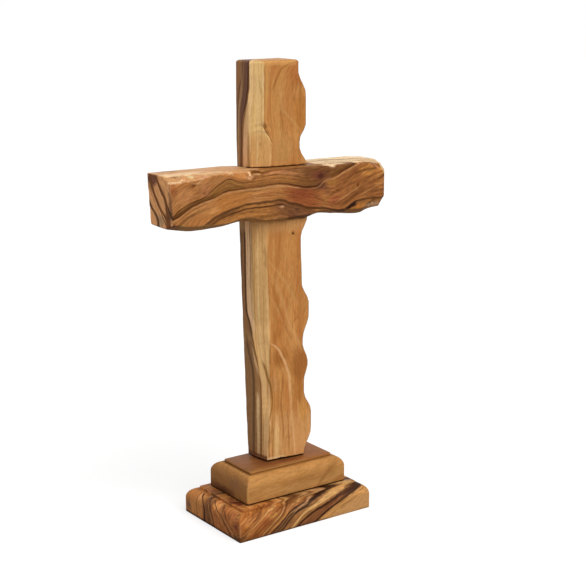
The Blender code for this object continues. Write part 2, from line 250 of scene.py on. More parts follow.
def oliveWood(look):
    # Olive wood, carved, sanded and waxed. Its growth layers are warped sheets, so each piece has lines
    # across which the colour changes, and the streaks between them follow those lines: that gives the eye
    # dark wavy veins on golden brown. The wax gives a soft sheen and no mirror.
    look = {**waxedOlive, **look}
    made, tree, shader = newMaterial(look["name"])
    low, high = look["noiseRange"]

    here = addNode(tree, "TexCoord")
    place = addNode(tree, "VectorMath", "SCALE", {0: here.outputs["Object"], "Scale": 1 / mm})

    # The layers waver by a fraction of a millimetre, and blotches have ragged outlines
    bent = {}
    for name in ("waver", "ragged"):
        reach = look[name + "Reach"]
        waver = addNode(tree, "TexNoise", None, {"Vector": place, "Scale": 1 / look[name + "Size"],
                                                 "Detail": look["waverDetail"]})
        waver = addNode(tree, "VectorMath", "MULTIPLY_ADD",
                        {0: waver.outputs["Color"], 1: (reach,) * 3, 2: (-reach / 2,) * 3})
        bent[name] = addNode(tree, "VectorMath", None, {0: place, 1: waver})

    # Where each place lies along the grain, across the layers, up the face and deep in the piece
    level = []
    for source, axis in ((bent["waver"], "along"), (bent["waver"], "across"), (bent["waver"], "face"),
                         (bent["ragged"], "along"), (place, "deep")):
        dot = addNode(tree, "VectorMath", "DOT_PRODUCT", {0: source, 1: look[axis]})
        level.append(dot.outputs["Value"])
    along, across, face, raggedAlong, deep = level
    lean = addNode(tree, "FloatCurve", None, {"Value": deep}, look["lean"])
    across = addNode(tree, "Math", "SUBTRACT", {0: across, 1: lean})
    straight = addNode(tree, "SeparateXYZ", None, {0: place}).outputs
    wavering = addNode(tree, "SeparateXYZ", None, {0: bent["waver"]}).outputs
    wood = {"rumpled": bent["ragged"], "along": along, "raggedAlong": raggedAlong, "layers": (along, across),
            "face": (along, face), "end": (wavering["Z"], wavering["Y"]), "normal": here.outputs["Normal"],
            "X": straight["X"], "Y": straight["Y"], "Z": straight["Z"],
            "breakRange": look["breakRange"], "crispEdge": look["crispEdge"]}

    # Flow counts millimetres across the layers from guide to guide, so that streaks run along them
    guides = {name: addNode(tree, "FloatCurve", None, {"Value": along}, points)
              for name, points in look["guides"].items()}
    wood["gaps"] = {name: addNode(tree, "Math", "SUBTRACT", {0: across, 1: guide})
                    for name, guide in guides.items()}
    flow = 0.0
    for (inner, start), (outer, end) in zip(look["flow"], look["flow"][1:]):
        step = addNode(tree, "MapRange", None, {"Value": across, "From Min": guides.get(inner, inner),
                                                "From Max": guides.get(outer, outer), "To Max": end - start})
        flow = addNode(tree, "Math", None, {0: flow, 1: step})
    grain = addNode(tree, "CombineXYZ", None, {"X": along, "Y": flow, "Z": deep})

    # Noise drawn out along the grain
    drawn = {}
    for name, (detail, twist) in look["grainNoise"].items():
        scaled = addNode(tree, "VectorMath", "MULTIPLY",
                         {0: grain, 1: tuple(1 / size for size in look[name + "Size"])})
        drawn[name] = addNode(tree, "TexNoise", None, {"Vector": scaled, "Scale": 1.0, "Detail": detail,
                                                       "Roughness": look["noiseRoughness"],
                                                       "Distortion": twist})
    wood.update(thin=drawn["thin"], speckle=drawn["speckle"])

    # Broad colour: the piece's own two browns, then its areas
    blend = addNode(tree, "MapRange", None, {"Value": drawn["mottle"], "From Min": low, "From Max": high})
    colour = addNode(tree, "Mix", mixColours, {"Factor": blend, 6: hexColour(look["colours"][0]),
                                               7: hexColour(look["colours"][1])}).outputs[2]
    for area in look["areas"]:
        colour = addNode(tree, "Mix", mixColours, {"Factor": markMask(tree, wood, area), 6: colour,
                                                   7: hexColour(area["colour"])}).outputs[2]

    # Growth streaks, broad and thin, and the thin dark line at the end of a year's growth
    streak = addNode(tree, "Mix", None, {"Factor": look["thinShare"], 2: drawn["broad"], 3: drawn["thin"]})
    ramp = addNode(tree, "ValToRGB", None, {"Fac": streak}, look["streakTints"])
    colour = addNode(tree, "Mix", {"data_type": "RGBA", "blend_type": "MULTIPLY"},
                     {"Factor": 1.0, 6: colour, 7: ramp}).outputs[2]
    ring = addNode(tree, "Math", "SUBTRACT", {0: drawn["ring"], 1: 0.5})
    ring = addNode(tree, "Math", "ABSOLUTE", {0: ring})
    ring = addNode(tree, "MapRange", smoothStep,
                   {"Value": ring, "From Min": look["ringWidth"], "From Max": 0.0})
    ring = addNode(tree, "Math", "MULTIPLY", {0: ring, 1: look["ringShade"]})
    colour = addNode(tree, "Mix", mixColours, {"Factor": ring, 6: colour,
                                               7: hexColour(look["ringColour"])}).outputs[2]

    for mark in look["veins"]:
        colour = addNode(tree, "Mix", mixColours, {"Factor": markMask(tree, wood, mark), 6: colour,
                                                   7: hexColour(mark["colour"])}).outputs[2]

    # Fibre shade, end grain darker than the rest, painted shade on undersides, and pores as short dark dashes
    shade = addNode(tree, "MapRange", None,
                    {"Value": drawn["fibre"], "From Min": low, "From Max": high,
                     "To Min": 1 - look["fibreShade"], "To Max": 1 + look["fibreShade"]})
    facing = addNode(tree, "VectorMath", "DOT_PRODUCT", {0: here.outputs["Normal"], 1: look["along"]})
    facing = addNode(tree, "Math", "ABSOLUTE", {0: facing.outputs["Value"]})
    start, full = look["endRange"]
    facing = addNode(tree, "MapRange", smoothStep,
                     {"Value": facing, "From Min": start, "From Max": full,
                      "To Min": 1.0, "To Max": look["endGrain"]})
    shade = addNode(tree, "Math", "MULTIPLY", {0: shade, 1: facing})
    # Painted shade: faces that look down are darkened
    under = addNode(tree, "SeparateXYZ", None, {0: here.outputs["Normal"]}).outputs["Z"]
    down, level = look["underShadeRange"]
    under = addNode(tree, "MapRange", smoothStep,
                    {"Value": under, "From Min": down, "From Max": level,
                     "To Min": look["underside"], "To Max": 1.0})
    shade = addNode(tree, "Math", "MULTIPLY", {0: shade, 1: under})
    colour = addNode(tree, "VectorMath", "SCALE", {0: colour, "Scale": shade})
    start, full = look["poreRange"]
    pores = addNode(tree, "MapRange", smoothStep,
                    {"Value": drawn["pore"], "From Min": start, "From Max": full,
                     "To Max": look["poreShade"]})
    colour = addNode(tree, "Mix", mixColours, {"Factor": pores, 6: colour,
                                               7: hexColour(look["poreColour"])}).outputs[2]

    # Wax: satin, a little duller in the dark streaks
    gloss = addNode(tree, "MapRange", None, {"Value": streak, "From Min": low, "From Max": high,
                                             "To Min": look["roughness"] + look["dullDark"],
                                             "To Max": look["roughness"] - look["glossPale"]})
    relief = addNode(tree, "Math", "MULTIPLY_ADD", {0: pores, 1: look["poreDepth"], 2: drawn["fibre"]})
    relief = addNode(tree, "Math", "MULTIPLY_ADD", {0: drawn["thin"], 1: look["streakHeight"], 2: relief})
    bump = addNode(tree, "Bump", None, {"Height": relief, "Strength": look["bump"],
                                        "Distance": look["bumpHeight"] * mm})
    feed(tree, shader, {"Base Color": colour, "Roughness": gloss, "IOR": look["IOR"],
                        "Specular IOR Level": look["specular"], "Normal": bump})
    return made


# Shapes

def meshOf(shape, name):
    bmesh.ops.recalc_face_normals(shape, faces=shape.faces)
    mesh = bpy.data.meshes.new(name)
    shape.to_mesh(mesh)
    shape.free()
    return mesh


def loft(rings):
    # A closed shape through rings of points, with a face over each end
    shape = bmesh.new()
    placed = [[shape.verts.new(point) for point in ring] for ring in rings]
    for low, high in zip(placed, placed[1:]):
        for i in range(len(low)):
            j = (i + 1) % len(low)
            shape.faces.new((low[i], low[j], high[j], high[i]))
    shape.faces.new(placed[0][::-1])
    shape.faces.new(placed[-1])
    return shape


def applied(piece):
    # The mesh that a piece has once its modifiers are applied
    graph = bpy.context.evaluated_depsgraph_get()
    mesh = bpy.data.meshes.new_from_object(piece.evaluated_get(graph))
    bpy.data.objects.remove(piece)
    return mesh


def softened(node, look):
    # A fine copy of a CAD node: flat where that is flat, with its edges worn a little round by sanding
    rough = addObject("rough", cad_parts[node].data.copy())
    fine = rough.modifiers.new("fine", "REMESH")
    fine.mode = "VOXEL"
    fine.voxel_size = look["fineness"] * mm
    onto = rough.modifiers.new("onto", "SHRINKWRAP")
    onto.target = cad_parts[node]
    worn = rough.modifiers.new("worn", "SMOOTH")
    worn.factor = look["wear"]
    worn.iterations = look["sanding"]
    return applied(rough)


def handMarks(mesh, look):
    # Low waves left by the rasp and sandpaper, hollows cut by hand and torn grain, all into the surface
    count = len(mesh.vertices)
    places = np.empty(count * 3)
    normals = np.empty(count * 3)
    mesh.vertices.foreach_get("co", places)
    mesh.vertices.foreach_get("normal", normals)
    places = places.reshape(-1, 3) / mm
    normals = normals.reshape(-1, 3)
    waves = np.array([noise.noise(Vector(place / look["waveSize"])) for place in places])
    depth = -look["waveDepth"] * (0.5 + 0.5 * waves)
    rimPower = 1.5      # how gently a hollow runs out
    for hollow in look.get("hollows", []):
        reach = (((places - hollow["at"]) / hollow["size"]) ** 2).sum(axis=1)
        cut = hollow["depth"] * np.clip(1 - reach, 0, 1) ** rimPower
        if hollow["depth"] < 0:         # a swelling
            depth -= cut
            continue
        if "torn" in hollow:
            for i in np.flatnonzero(cut):
                cut[i] *= 0.5 + noise.noise(Vector(places[i] / hollow["torn"]))
        depth -= np.clip(cut, 0, None)
    places += normals * depth[:, None]
    mesh.vertices.foreach_set("co", (places * mm).ravel())
    mesh.shade_smooth()
    mesh.update()
    return mesh


# The crossbar: strongly veined heartwood, with a light band along its front

crossbarLook = {
    "name": "waxedOliveVeined",
    "slot": "veined_olive",
    "fineness": 0.55,       # mm between the points of its surface
    "sanding": 1,           # smoothing passes
    "wear": 0.5,            # how far one pass goes
    "waveSize": 14.0,       # mm
    "waveDepth": 0.14,      # mm
    "hollows": [            # mm. A negative depth swells, and torn is the size of torn grain
        {"at": (-19.5, -9.6, 193.6), "size": (4.5, 3.0, 1.8), "depth": 0.8},
        {"at": (-64, -8, 194), "size": (9, 6, 3), "depth": 0.9, "torn": 2.4},
        {"at": (-50, -9, 194.5), "size": (8, 5, 2.5), "depth": 0.7, "torn": 2.0},
        {"at": (-36, -8, 194.5), "size": (4, 6, 3.5), "depth": 0.9, "torn": 1.6},
        {"at": (27, -10, 194), "size": (4, 5, 2.5), "depth": 0.7, "torn": 2.0},
        {"at": (56, -11, 171), "size": (8, 4, 3), "depth": 0.8, "torn": 1.8},
        {"at": (40, -12, 168.5), "size": (5, 3, 2), "depth": 0.5, "torn": 1.8},
        {"at": (-72, -10, 191), "size": (3, 4, 4), "depth": 0.6, "torn": 2.0},
        {"at": (-58, -4, 165), "size": (22, 22, 9), "depth": -1.3},
        {"at": (46, -4, 165), "size": (22, 22, 9), "depth": -0.9},
    ],
    "along": (1, 0, 0),
    "across": (0, 0, 1),
    "face": (0, 0, 1),
    "deep": (0, 1, 0),
    # How far the layers rise toward the back, in millimetres
    "lean": [(-11.7, 0), (-8, 5), (-6, 10), (-1.7, 15.5), (2.2, 23), (10.4, 35.3)],
    "waverReach": 0.7,      # mm, how far the layers waver
    "waverSize": 4.0,
    "colours": ("#A36734", "#B57C49"),
    # Lines that the growth layers follow, left to right: places along the grain and heights
    "guides": {
        "low": [(-72, 158), (-62, 164.5), (-55, 169), (-49.5, 171.2), (-43.5, 173.9), (-34, 176.3),
                (-25, 177.6), (-12, 177.6), (-7, 178), (-3.6, 177.4), (0, 175.8), (5, 174.6), (12.5, 172),
                (20, 171), (28, 169.3), (35, 167.5), (39.5, 170.6), (45, 172.8), (54, 173), (64, 173)],
        "middle": [(-72, 165), (-55, 175), (-38, 180.5), (-12, 182), (0, 180), (12, 177), (24, 173.5),
                   (30, 172), (36, 172.5), (44, 176), (50, 179.5), (57, 181.6), (64, 182)],
        "main": [(-72, 171.5), (-71, 174), (-68, 175.2), (-61, 179.1), (-55.3, 181.1), (-50.8, 182.2),
                 (-45.6, 183.4), (-40.3, 185.4), (-34, 186), (-17, 186.2), (-9.4, 186.7), (-3, 186.2),
                 (3.4, 184.9), (10.8, 183.3), (16.5, 183.1), (19.8, 184.2), (22.5, 186.3), (29.5, 187.3),
                 (32.4, 188.6), (38.4, 191.2), (45.3, 193.8), (64, 200)],
        "upper": [(-72, 173), (-70.5, 175.7), (-65, 179.6), (-59, 181.9), (-53, 183.6), (-48, 186.7),
                  (-43, 189.8), (-38, 191.6), (-32, 189.9), (-28, 189), (-20, 190), (0, 190.4), (12, 190),
                  (22, 191.5), (30, 192.5), (40, 196), (64, 206)],
    },
    # Streaks run evenly between these levels or guides. The second number counts millimetres of growth.
    "flow": [(120, 0), ("low", 30), ("middle", 37), ("main", 44), ("upper", 48), (220, 75)],
    "mottleSize": (16.0, 5.0, 9.0),     # mm along, across and deep, as are the next three
    "broadSize": (40.0, 2.4, 18.0),
    "thinSize": (18.0, 0.7, 6.0),
    "thinShare": 0.5,
    "ringSize": (50.0, 3.4, 22.0),
    "ringWidth": 0.022,     # share of a ring's spacing
    "ringShade": 0.5,
    "ringColour": "#6A3E18",
    "streakTints": [(0.34, (0.66, 0.57, 0.48)), (0.68, (1.50, 1.50, 1.45)), (0.44, (0.99, 0.96, 0.92)),
                    (0.55, (1.24, 1.23, 1.22))],
    "fibreShade": 0.24,
    "poreColour": "#5A3414",
    "endGrain": 0.97,
    # Painted shade left on faces that look down
    "underside": 0.65,
    "bump": 0.3,
}

crossbarLook["areas"] = [
    patch("#A86E38", under="low", soft=1.6),
    patch("#784B2C", under="low", shown=[(-14, 0), (-6, 0.8), (1, 1), (12, 1), (18, 0)]),
    blot("#84583A", (4, -11, 171), (3.5, 5, 4.5), 0.7, 1.0),
    patch("#AE7038", over="low", under="main", soft=1.2, shown=between(-50, -42, -30, -22)),
    patch("#90502A", over="low", under="main", soft=1.4, shown=between(-6, 4, 14, 26)),
    patch("#9A6032", over="low", under="main", soft=1.4, shown=[(16, 0), (30, 1)]),
    patch("#8C5E2C", over="main", under="upper", soft=0.6, shown=[(-72, 1), (-50, 1), (-40, 0.8), (-30, 0.9),
          (-20, 0.4), (-12, 0)]),
    patch("#A86E3A", over="main", soft=1.2, shown=[(-34, 0), (-22, 1), (10, 1), (14, 0.5), (22, 0)]),
    patch("#A87044", over="main", up=4.5, soft=2.0, shown=between(-16, -8, 8, 16)),
    patch("#7A4F28", over="main", soft=0.6, shown=between(0, 14, 40, 46, 0.9)),
    blot("#6A4024", (13.5, -11, 190.5), (6, 6, 2.4), blur=1.0),
    blot("#6C3826", (19.5, -11, 188.8), (9, 7, 4.6), blur=0.9),
    blot("#5E3A1C", (24, -11, 191), (5, 6, 3), 0.8, 1.0),
    blot("#8A5430", (25.5, -11, 180.5), (6, 5, 3.5), 0.7, 0.9),
    blot("#8A4626", (8, -11, 180), (9, 5, 4.5), 0.8, 0.8),
    blot("#744A1C", (-15, -11, 169.8), (8, 5, 2.0), 0.5, speckled=0.8),
    blot("#7A4514", (-59, -11, 190), (3, 3, 1.3), 0.9),
    blot("#AE7248", (-52, -11, 187), (5, 5, 5), 0.8),
    blot("#C48652", (-64, -11, 185), (9, 5, 7), 0.8, 0.8),
    blot("#96542C", (-70.5, -11, 188.5), (3, 2, 4), 0.8),
    blot("#C89250", (-66, -11.7, 170), (3.4, 3, 1.8), 0.9),
    blot("#7E3E28", (-71.5, -11, 170), (3, 4, 3), 0.9),
    blot("#BC824A", (-50, -11, 177), (9, 4, 2.6), 0.8),
    blot("#A87234", (27, -11, 184.5), (7, 4, 3), 0.8, 0.9),
    blot("#6E422C", (20.5, -11, 183), (6, 5, 4), blur=0.8),
    blot("#A87436", (24, -11, 176), (2.2, 5, 2), 0.6),
    blot("#A05C36", (30, -11, 174.5), (8, 5, 4.5), 0.9, 0.8),
    blot("#BC7E3E", (52, -11, 189), (9, 5, 4), 0.9),
    blot("#B8783E", (61, -11, 184), (4, 5, 9), 0.8),
    blot("#B8722C", (45.5, -11, 169.8), (3.4, 4, 1.4)),
    blot("#6A3810", (45.6, -11.7, 181.3), (1.2, 3, 1.8), 0.8),
    blot("#74420F", (31.9, -11.7, 179.2), (2.2, 3, 0.9), 0.8),
    blot("#C8946C", (-4.6, -11.7, 174.4), (2.6, 3, 1.0), blur=0.7),
    # The sawn left end: painted pale all over, painted light that lifts the shade it stands in; then its
    # figure
    patch("#F8B274", faces=sawnEnd),
    blot("#84503A", (-72, 6.2, 193), (9, 6.6, 5), faces=sawnEnd, blur=0.5),
    blot("#94643E", (-72, -10.6, 182), (9, 2.8, 13), 0.9, 0.9, faces=sawnEnd),
    blot("#845632", (-72, -8, 175.5), (9, 5, 6), faces=sawnEnd, blur=0.7),
    blot("#B49470", (-72, 0.5, 172), (9, 3.2, 4.5), 0.8, faces=sawnEnd),
    # Its top, painted pale as a painted highlight, and its back arris darkened as painted shade
    patch("#F4D4A4", faces=levelTop, X=(21, 70), soft=3.0, amount=0.9),
    patch("#DEB282", faces=levelTop, X=(-80, -15), soft=3.0, amount=0.7),
    patch("#7A6436", faces=((0, 0.7, 0.7), 0.75, 0.92), Y=(6, 14), amount=0.8),
]

crossbarLook["veins"] = [
    vein("#70441A", "main", 1.4, 0.9, [(-70, 0), (-67, 1), (-60, 1), (-56, 0.5), (-50, 0.4), (-46, 0)],
         offset=-4.4, broken=0.4),
    vein("#CE9C68", "main", 0.6, 0.6, [(-64, 0.4), (-40, 0.6), (-11, 0.8), (4, 0.8), (8, 0.2), (30, 0.6),
         (46, 0.8), (52, 0)], offset=-1.2, broken=0.5),
    vein("#6A3E14", "main", 1.8, 0.9, [(-72, 1), (-50, 0.9), (-44, 0.6), (-20, 0.5), (10, 0.5), (20, 0.3),
         (34, 0.9), (42, 0.8), (50, 0)], offset=1.0, broken=0.5),
    vein("#6A3E18", "main", 0.6, 0.6, between(-34, -24, 16, 20, 0.9), offset=3.0, broken=0.8),
    vein("#6E4018", "main", 0.6, 0.6, [(-26, 0), (-20, 0.8), (12, 0.9), (18, 0)], offset=4.9, broken=0.8),
    vein("#3A1C06", "main", 0.9, 0.5, [(-72, 1), (-50, 0.9), (-46, 0.7), (-38, 0.9), (-26, 0.7), (0, 0.9),
         (14, 1), (19, 0.7), (22, 0.2), (30, 0.2), (35, 0.9), (45, 0.9), (50, 0)], broken=0.3),
    vein("#4C280A", "upper", 0.7, 0.5, [(-72, 1), (-56, 1), (-50, 0.8), (-40, 0.9), (-30, 0.7), (-24, 0)],
         broken=0.3),
    vein("#5E3814", "upper", 0.5, 0.6, between(-52, -46, -34, -28, 0.9), offset=-2.2, broken=0.9),
    blot("#3E1A10", (20.3, -11, 188.6), (4.2, 7, 1.9), 0.7, 1.0),
    blot("#8A5A3C", (24.5, -11, 187.2), (4, 7, 1.2), 0.7, 0.9, broken=0.5),
    blot("#8C5834", (13, -11, 186.8), (5, 7, 0.9), 0.7, 0.9, broken=0.5),
    blot("#5E3824", (4.5, -11, 172.4), (3, 5, 1.2), 0.8, 0.9, broken=0.4),
    blot("#8E5E3E", (9, -11, 169.6), (5, 5, 0.9), 0.7, 0.9, broken=0.4),
    vein("#6A4220", "low", 1.4, 0.9, [(-72, 1), (-40, 1), (-25, 0.8), (0, 0.9), (16, 0.9), (26, 0.3),
         (60, 0.3)], broken=0.3),
    vein("#6A4220", "low", 2.2, 0.8, [(-58, 0), (-54, 1), (-36, 1), (-30, 0.3), (-26, 0)], offset=-1.5,
         broken=0.6),
    vein("#3C2008", "low", 0.7, 0.5, [(-72, 0.6), (-60, 0.6), (-40, 0.8), (-25, 0.7), (0, 0.8), (16, 1),
         (26, 0.6), (36, 1), (44, 0.9), (50, 0.6), (60, 0.6)], broken=0.3),
    vein("#2A1204", "low", 1.9, 0.7, [(30, 0), (34, 1), (43, 1), (46, 0.2), (64, 0.1)], offset=-0.9,
         broken=0.2),
    vein("#46220A", "low", 0.9, 0.6, [(-50, 0), (-42, 0.9), (-4, 1), (-1, 0)], offset=-2.3, broken=0.3),
    vein("#3A1C08", [(20, 172), (28, 169.6), (34, 169), (38, 170), (42, 172)], 0.8, 0.7, [(20, 0), (24, 0.8),
         (38, 0.9), (40, 0)]),
    vein("#70401A", [(22, 176), (28, 178), (33.3, 180.6), (37, 183.9), (41.5, 186.9), (47.6, 188.7),
         (57, 189.6), (66, 190.4)], 1.2, 1.2, [(24, 0), (30, 0.9), (36, 0.5), (42, 0.9), (62, 0.9)],
         broken=0.6),
    vein("#6C3E18", [(34.9, 171.6), (38.7, 173.1), (44.7, 176.2), (47.8, 177.4), (52.4, 181), (57, 182.4),
         (63.3, 184.9)], 1.7, 1.3, [(33, 0), (37, 1), (46, 0.8), (50, 0.5), (60, 0.9), (66, 0.9)],
         broken=0.5),
    vein("#C08A52", [(28, 172), (35, 175), (39, 176.7), (45, 179.4), (56, 184), (64, 187)], 0.6, 0.8,
         [(30, 0), (35, 0.9), (46, 0.9), (52, 0.3), (62, 0.6)], broken=0.8),
    vein("#74441A", [(36, 178), (44, 181.5), (52.5, 184.6), (56.7, 186), (64, 188)], 0.6, 0.7, [(36, 0),
         (44, 0.7), (52, 0.9), (64, 0.8)], broken=0.7),
    vein("#C08A56", [(44, 174), (55.4, 178.6), (61, 180.8), (64, 182)], 0.6, 0.7,
         [(46, 0), (54, 0.9), (64, 0.9)], broken=0.6),
    vein("#5A300C", [(-24, 192.2), (-15, 193.1), (-6, 193.9), (12, 193.3), (20, 192.6)], 1.1, 0.7,
         between(-18, -14, 12, 16, 0.6), on="face", Y=(-14, -6)),
    # The veins where they run out over the left end
    vein("#844C1C", [(170, -8.4), (177, -6.4), (182.7, -5.5), (186.7, -2.8), (190.7, 0), (195.5, 3.2)], 2.4,
         1.6, faces=sawnEnd, on="end"),
    vein("#844C1C", [(168, -7.5), (174.2, -4.4), (178.6, 0.6), (182.3, 3.2), (186.3, 5.8), (190.9, 7.4),
         (195, 8)], 2.6, 1.6, faces=sawnEnd, on="end"),
    vein("#6C4426", [(167, 2.8), (172.3, 3.7), (174.9, 5.5), (177.4, 8.7), (181, 11.4)], 2.6, 1.6,
         faces=sawnEnd, on="end"),
    # The facet along the top of the left arm, torn and rubbed pale, with painted highlights on it and painted
    # shade in its hollow
    patch("#D89E68", on="face", over=[(-72.6, 192.2), (-66.5, 192.2), (-64.5, 192.9), (-61, 191.8),
          (-57, 190.8), (-53.5, 192.7), (-51, 193.8), (-46, 194.4), (-30, 194.3), (-24, 193)],
          faces=((0, -0.5, 0.87), 0.6, 0.8), soft=0.4, Y=(-14, 6), shown=[(-72, 0.9), (-50, 1), (-38, 1),
          (-24, 0.6), (-22, 0)]),
    blot("#FAD29E", (-60, -3, 195.6), (20, 7, 1.6), blur=0.5, faces=((0, -0.3, 0.95), 0.6, 0.8)),
    blot("#94602F", (-65.5, -6.5, 194.9), (6, 3.4, 1.4), blur=0.8, speckled=1.0),
    vein("#FFD8A8", [(-72.6, 192.3), (-66.5, 192.5), (-63, 193.2), (-61, 192.3), (-57, 191.2), (-53, 193.2),
         (-46, 194.8), (-30, 194.7)], 0.7, 0.8, [(-72, 1), (-65, 1), (-62, 0.1), (-55, 0.3), (-50, 0.2)],
         on="face", speckled=0.8, faces=((0, -0.8, 0.6), 0.5, 0.7)),
    blot("#F0AC82", (-62.4, -7.5, 194.7), (1.8, 3, 1.1)),
    blot("#F2DAA0", (-58.5, -9.5, 194.2), (2.4, 4, 1.2), speckled=0.3),
    blot("#DC9E74", (-52, -10.5, 194.3), (3.4, 3, 1.0), broken=0.5),
    blot("#EEBE84", (-44, -7, 195.2), (12, 4, 0.9)),
    blot("#F8CC94", (-36, -9.5, 194.4), (3, 4, 2), blur=0.9, speckled=1.0),
    blot("#F8CA98", (-23.6, -9, 193.2), (1.5, 3, 2.0), speckled=0.4),
    blot("#6E3F12", (-19, -9.4, 193.5), (4.4, 3, 1.0), blur=0.4),
    blot("#D09A6C", (-24, -11.4, 191.4), (4.5, 3, 1.3), blur=0.8, speckled=0.5),
    # Painted light: the ledge in front of the post, evened out against the shade there
    patch("#9C6A3A", faces=((0, 0, 1), 0.85, 0.97), X=(-17, 23), Y=(-13, -6)),
    # Painted highlights on the right arm's top and its rounded end
    blot("#FFD8A8", (28, -10.5, 193.2), (3.2, 4, 1.6), blur=0.7),
    blot("#E0B47C", (57, -6, 194.4), (10, 8, 1.4), blur=0.5),
    blot("#E4BE88", (63.8, -9, 190), (1.8, 6, 5), 0.9, 0.5),
    # Painted light on the lower chamfer, against its shade
    patch("#CC9054", faces=((0, -0.6, -0.8), 0.55, 0.9), X=(-66, -1), Y=(-13, -5), soft=3.0, speckled=0.5,
          amount=0.8),
    blot("#C49C78", (57, -10.5, 169.6), (6.5, 3, 2.4), speckled=0.8),
]


def makeCrossbar():
    mesh = handMarks(softened("crossbar", crossbarLook), crossbarLook)
    addPiece("veinedCrossbar", mesh, "crossbar", crossbarLook)


# The post: pale sapwood in front, dark heartwood down its left side

# The arris between its front and its long left facet: heights and places to the right
facetEdge = [(32, -9), (70, -9), (87, -9.2), (107, -8.8), (118, -9.3), (129, -9.9), (142, -10.5),
             (161, -9.8), (180, -9), (198, -7.8), (204, -7.7), (210, -8.4), (214, -11), (221, -11.9),
             (243, -11.8), (250, -11.5)]

postLook = {
    "name": "waxedOlivePale",
    "slot": "pale_olive",
    "fineness": 0.6,
    "sanding": 1,
    "wear": 0.5,
    "waveSize": 16.0,
    "waveDepth": 0.12,
    "hollows": [
        {"at": (-10.5, -5.5, 214), "size": (3, 2, 5), "depth": 0.5, "torn": 1.6},
        {"at": (5.3, -7.5, 159), "size": (0.9, 2, 0.9), "depth": 0.5},
    ],
    "along": (0, 0, 1),
    "across": (1, -1, 0),
    "face": (1, 0, 0),
    "deep": (0.7, 0.7, 0),
    "lean": [(-40, 7.9), (40, 7.9)],
    "waverReach": 0.5,
    "waverSize": 6.0,
    "colours": ("#B8753C", "#CB9252"),
    "guides": {
        "heart": [(32, -18.4), (50, -18), (66, -18.1), (78, -18.8), (84, -19.9), (89, -21.2), (95, -22.9),
                  (100, -24), (106, -25.2), (111, -27.2), (116, -29.3), (133, -29.9), (150, -29.7),
                  (163, -30.2), (198, -31.1), (208, -30.8), (214, -30.2), (219, -29.2), (225, -27.6),
                  (230, -26), (235, -24.9), (240, -24.6), (250, -24.6)],
        "facet": [(32, -14), (60, -11), (100, -12.5), (165, -12), (200, -9.5), (212, -9.5), (222, -12),
                  (250, -12)],
        "middle": [(32, 6.2), (48, 4.7), (59, 3.2), (68, 2.8), (74, 2.5), (80, 1.9), (84, 0.4), (87.4, -0.8),
                   (91, -2.9), (95, -5), (97.3, -7.6), (110, -8.5), (140, -6), (170, -5), (200, -5),
                   (225, -6), (236, -5), (244, -1), (250, 4)],
    },
    "flow": [(-60, 0), ("heart", 25), ("facet", 38), ("middle", 48), (30, 72)],
    "mottleSize": (30.0, 5.0, 9.0),
    "broadSize": (66.0, 2.4, 12.0),
    "thinSize": (30.0, 0.8, 6.0),
    "thinShare": 0.45,
    "ringSize": (80.0, 3.6, 16.0),
    "ringWidth": 0.02,
    "ringShade": 0.35,
    "ringColour": "#8E5C28",
    "streakTints": [(0.3, (0.89, 0.83, 0.74)), (0.7, (1.30, 1.30, 1.28)), (0.42, (1.04, 1.03, 1.00)),
                    (0.56, (1.15, 1.15, 1.15))],
    "fibreShade": 0.13,
    "poreColour": "#7A4C20",
    "endGrain": 0.85,
    "bump": 0.25,
}

postLook["areas"] = [
    patch("#ECC280", on="face", under=facetEdge, soft=0.9, shown=[(206, 0), (214, 0.9), (250, 1)]),
    patch("#D6A466", on="face", under=facetEdge, soft=5.0, shown=between(180, 196, 208, 214, 0.8)),
    patch("#D8A86C", on="face", under=facetEdge, soft=2.2, shown=[(104, 0), (112, 1), (150, 1), (162, 0.6),
          (190, 0.3), (200, 0)]),
    patch("#F2C080", on="face", under=facetEdge, soft=2.0, shown=[(30, 0.9), (106, 0.9), (112, 0)]),
    patch("#D09A62", Z=(30, 58), soft=8.0, amount=0.5),
    # Painted light: the pale strip down the left side, lifted against the shade of that side
    patch("#FCCA98", over="heart", under="heart", down=4.0, soft=1.2, shown=[(104, 0), (112, 1), (204, 1),
          (222, 0.35), (250, 0.3)]),
    patch("#A27146", under="heart", soft=0.8, shown=[(98, 0.0), (106, 1), (250, 1)]),
    patch("#A2754A", under="heart", shown=[(98, 1), (106, 0)]),
    patch("#F0BE80", over="heart", under="facet", up=0.6, soft=1.4, amount=0.6,
          shown=[(30, 1), (60, 1), (74, 0)]),
    blot("#B26C36", (9, -8, 243), (9, 6, 9), 0.8),
    blot("#B87838", (12, -8, 222), (8, 10, 14), 0.9),
    blot("#C28C50", (-1, -8, 204), (9, 6, 13), 0.8),
    blot("#A86C30", (0, -8, 185), (5, 6, 5), 0.7),
    blot("#B87E3C", (13, -8, 140), (4, 10, 16), 0.7),
    blot("#A2682F", (-5, -8, 103), (5, 6, 5), 0.6, 1.0),
    blot("#A8692F", (-5, -8, 116), (5, 6, 30), 0.7, 0.9),
    blot("#A8692F", (9, -8, 72), (8, 6, 20), 0.6, 0.9),
    blot("#9E622C", (-3, -8, 90), (7, 6, 8), 0.9),
    blot("#A0622E", (9.5, -8, 85), (7, 6, 13), 0.8),
    blot("#C48A52", (-6, -6, 76), (3.5, 6, 7), 0.8),
    blot("#CDA064", (-4.6, -6, 42), (3.4, 6, 14), 0.9),
    blot("#C88C48", (12, -6, 58), (4, 8, 9), 0.8),
]

onFront = {"on": "face", "Y": (-12, 1)}     # not on the back

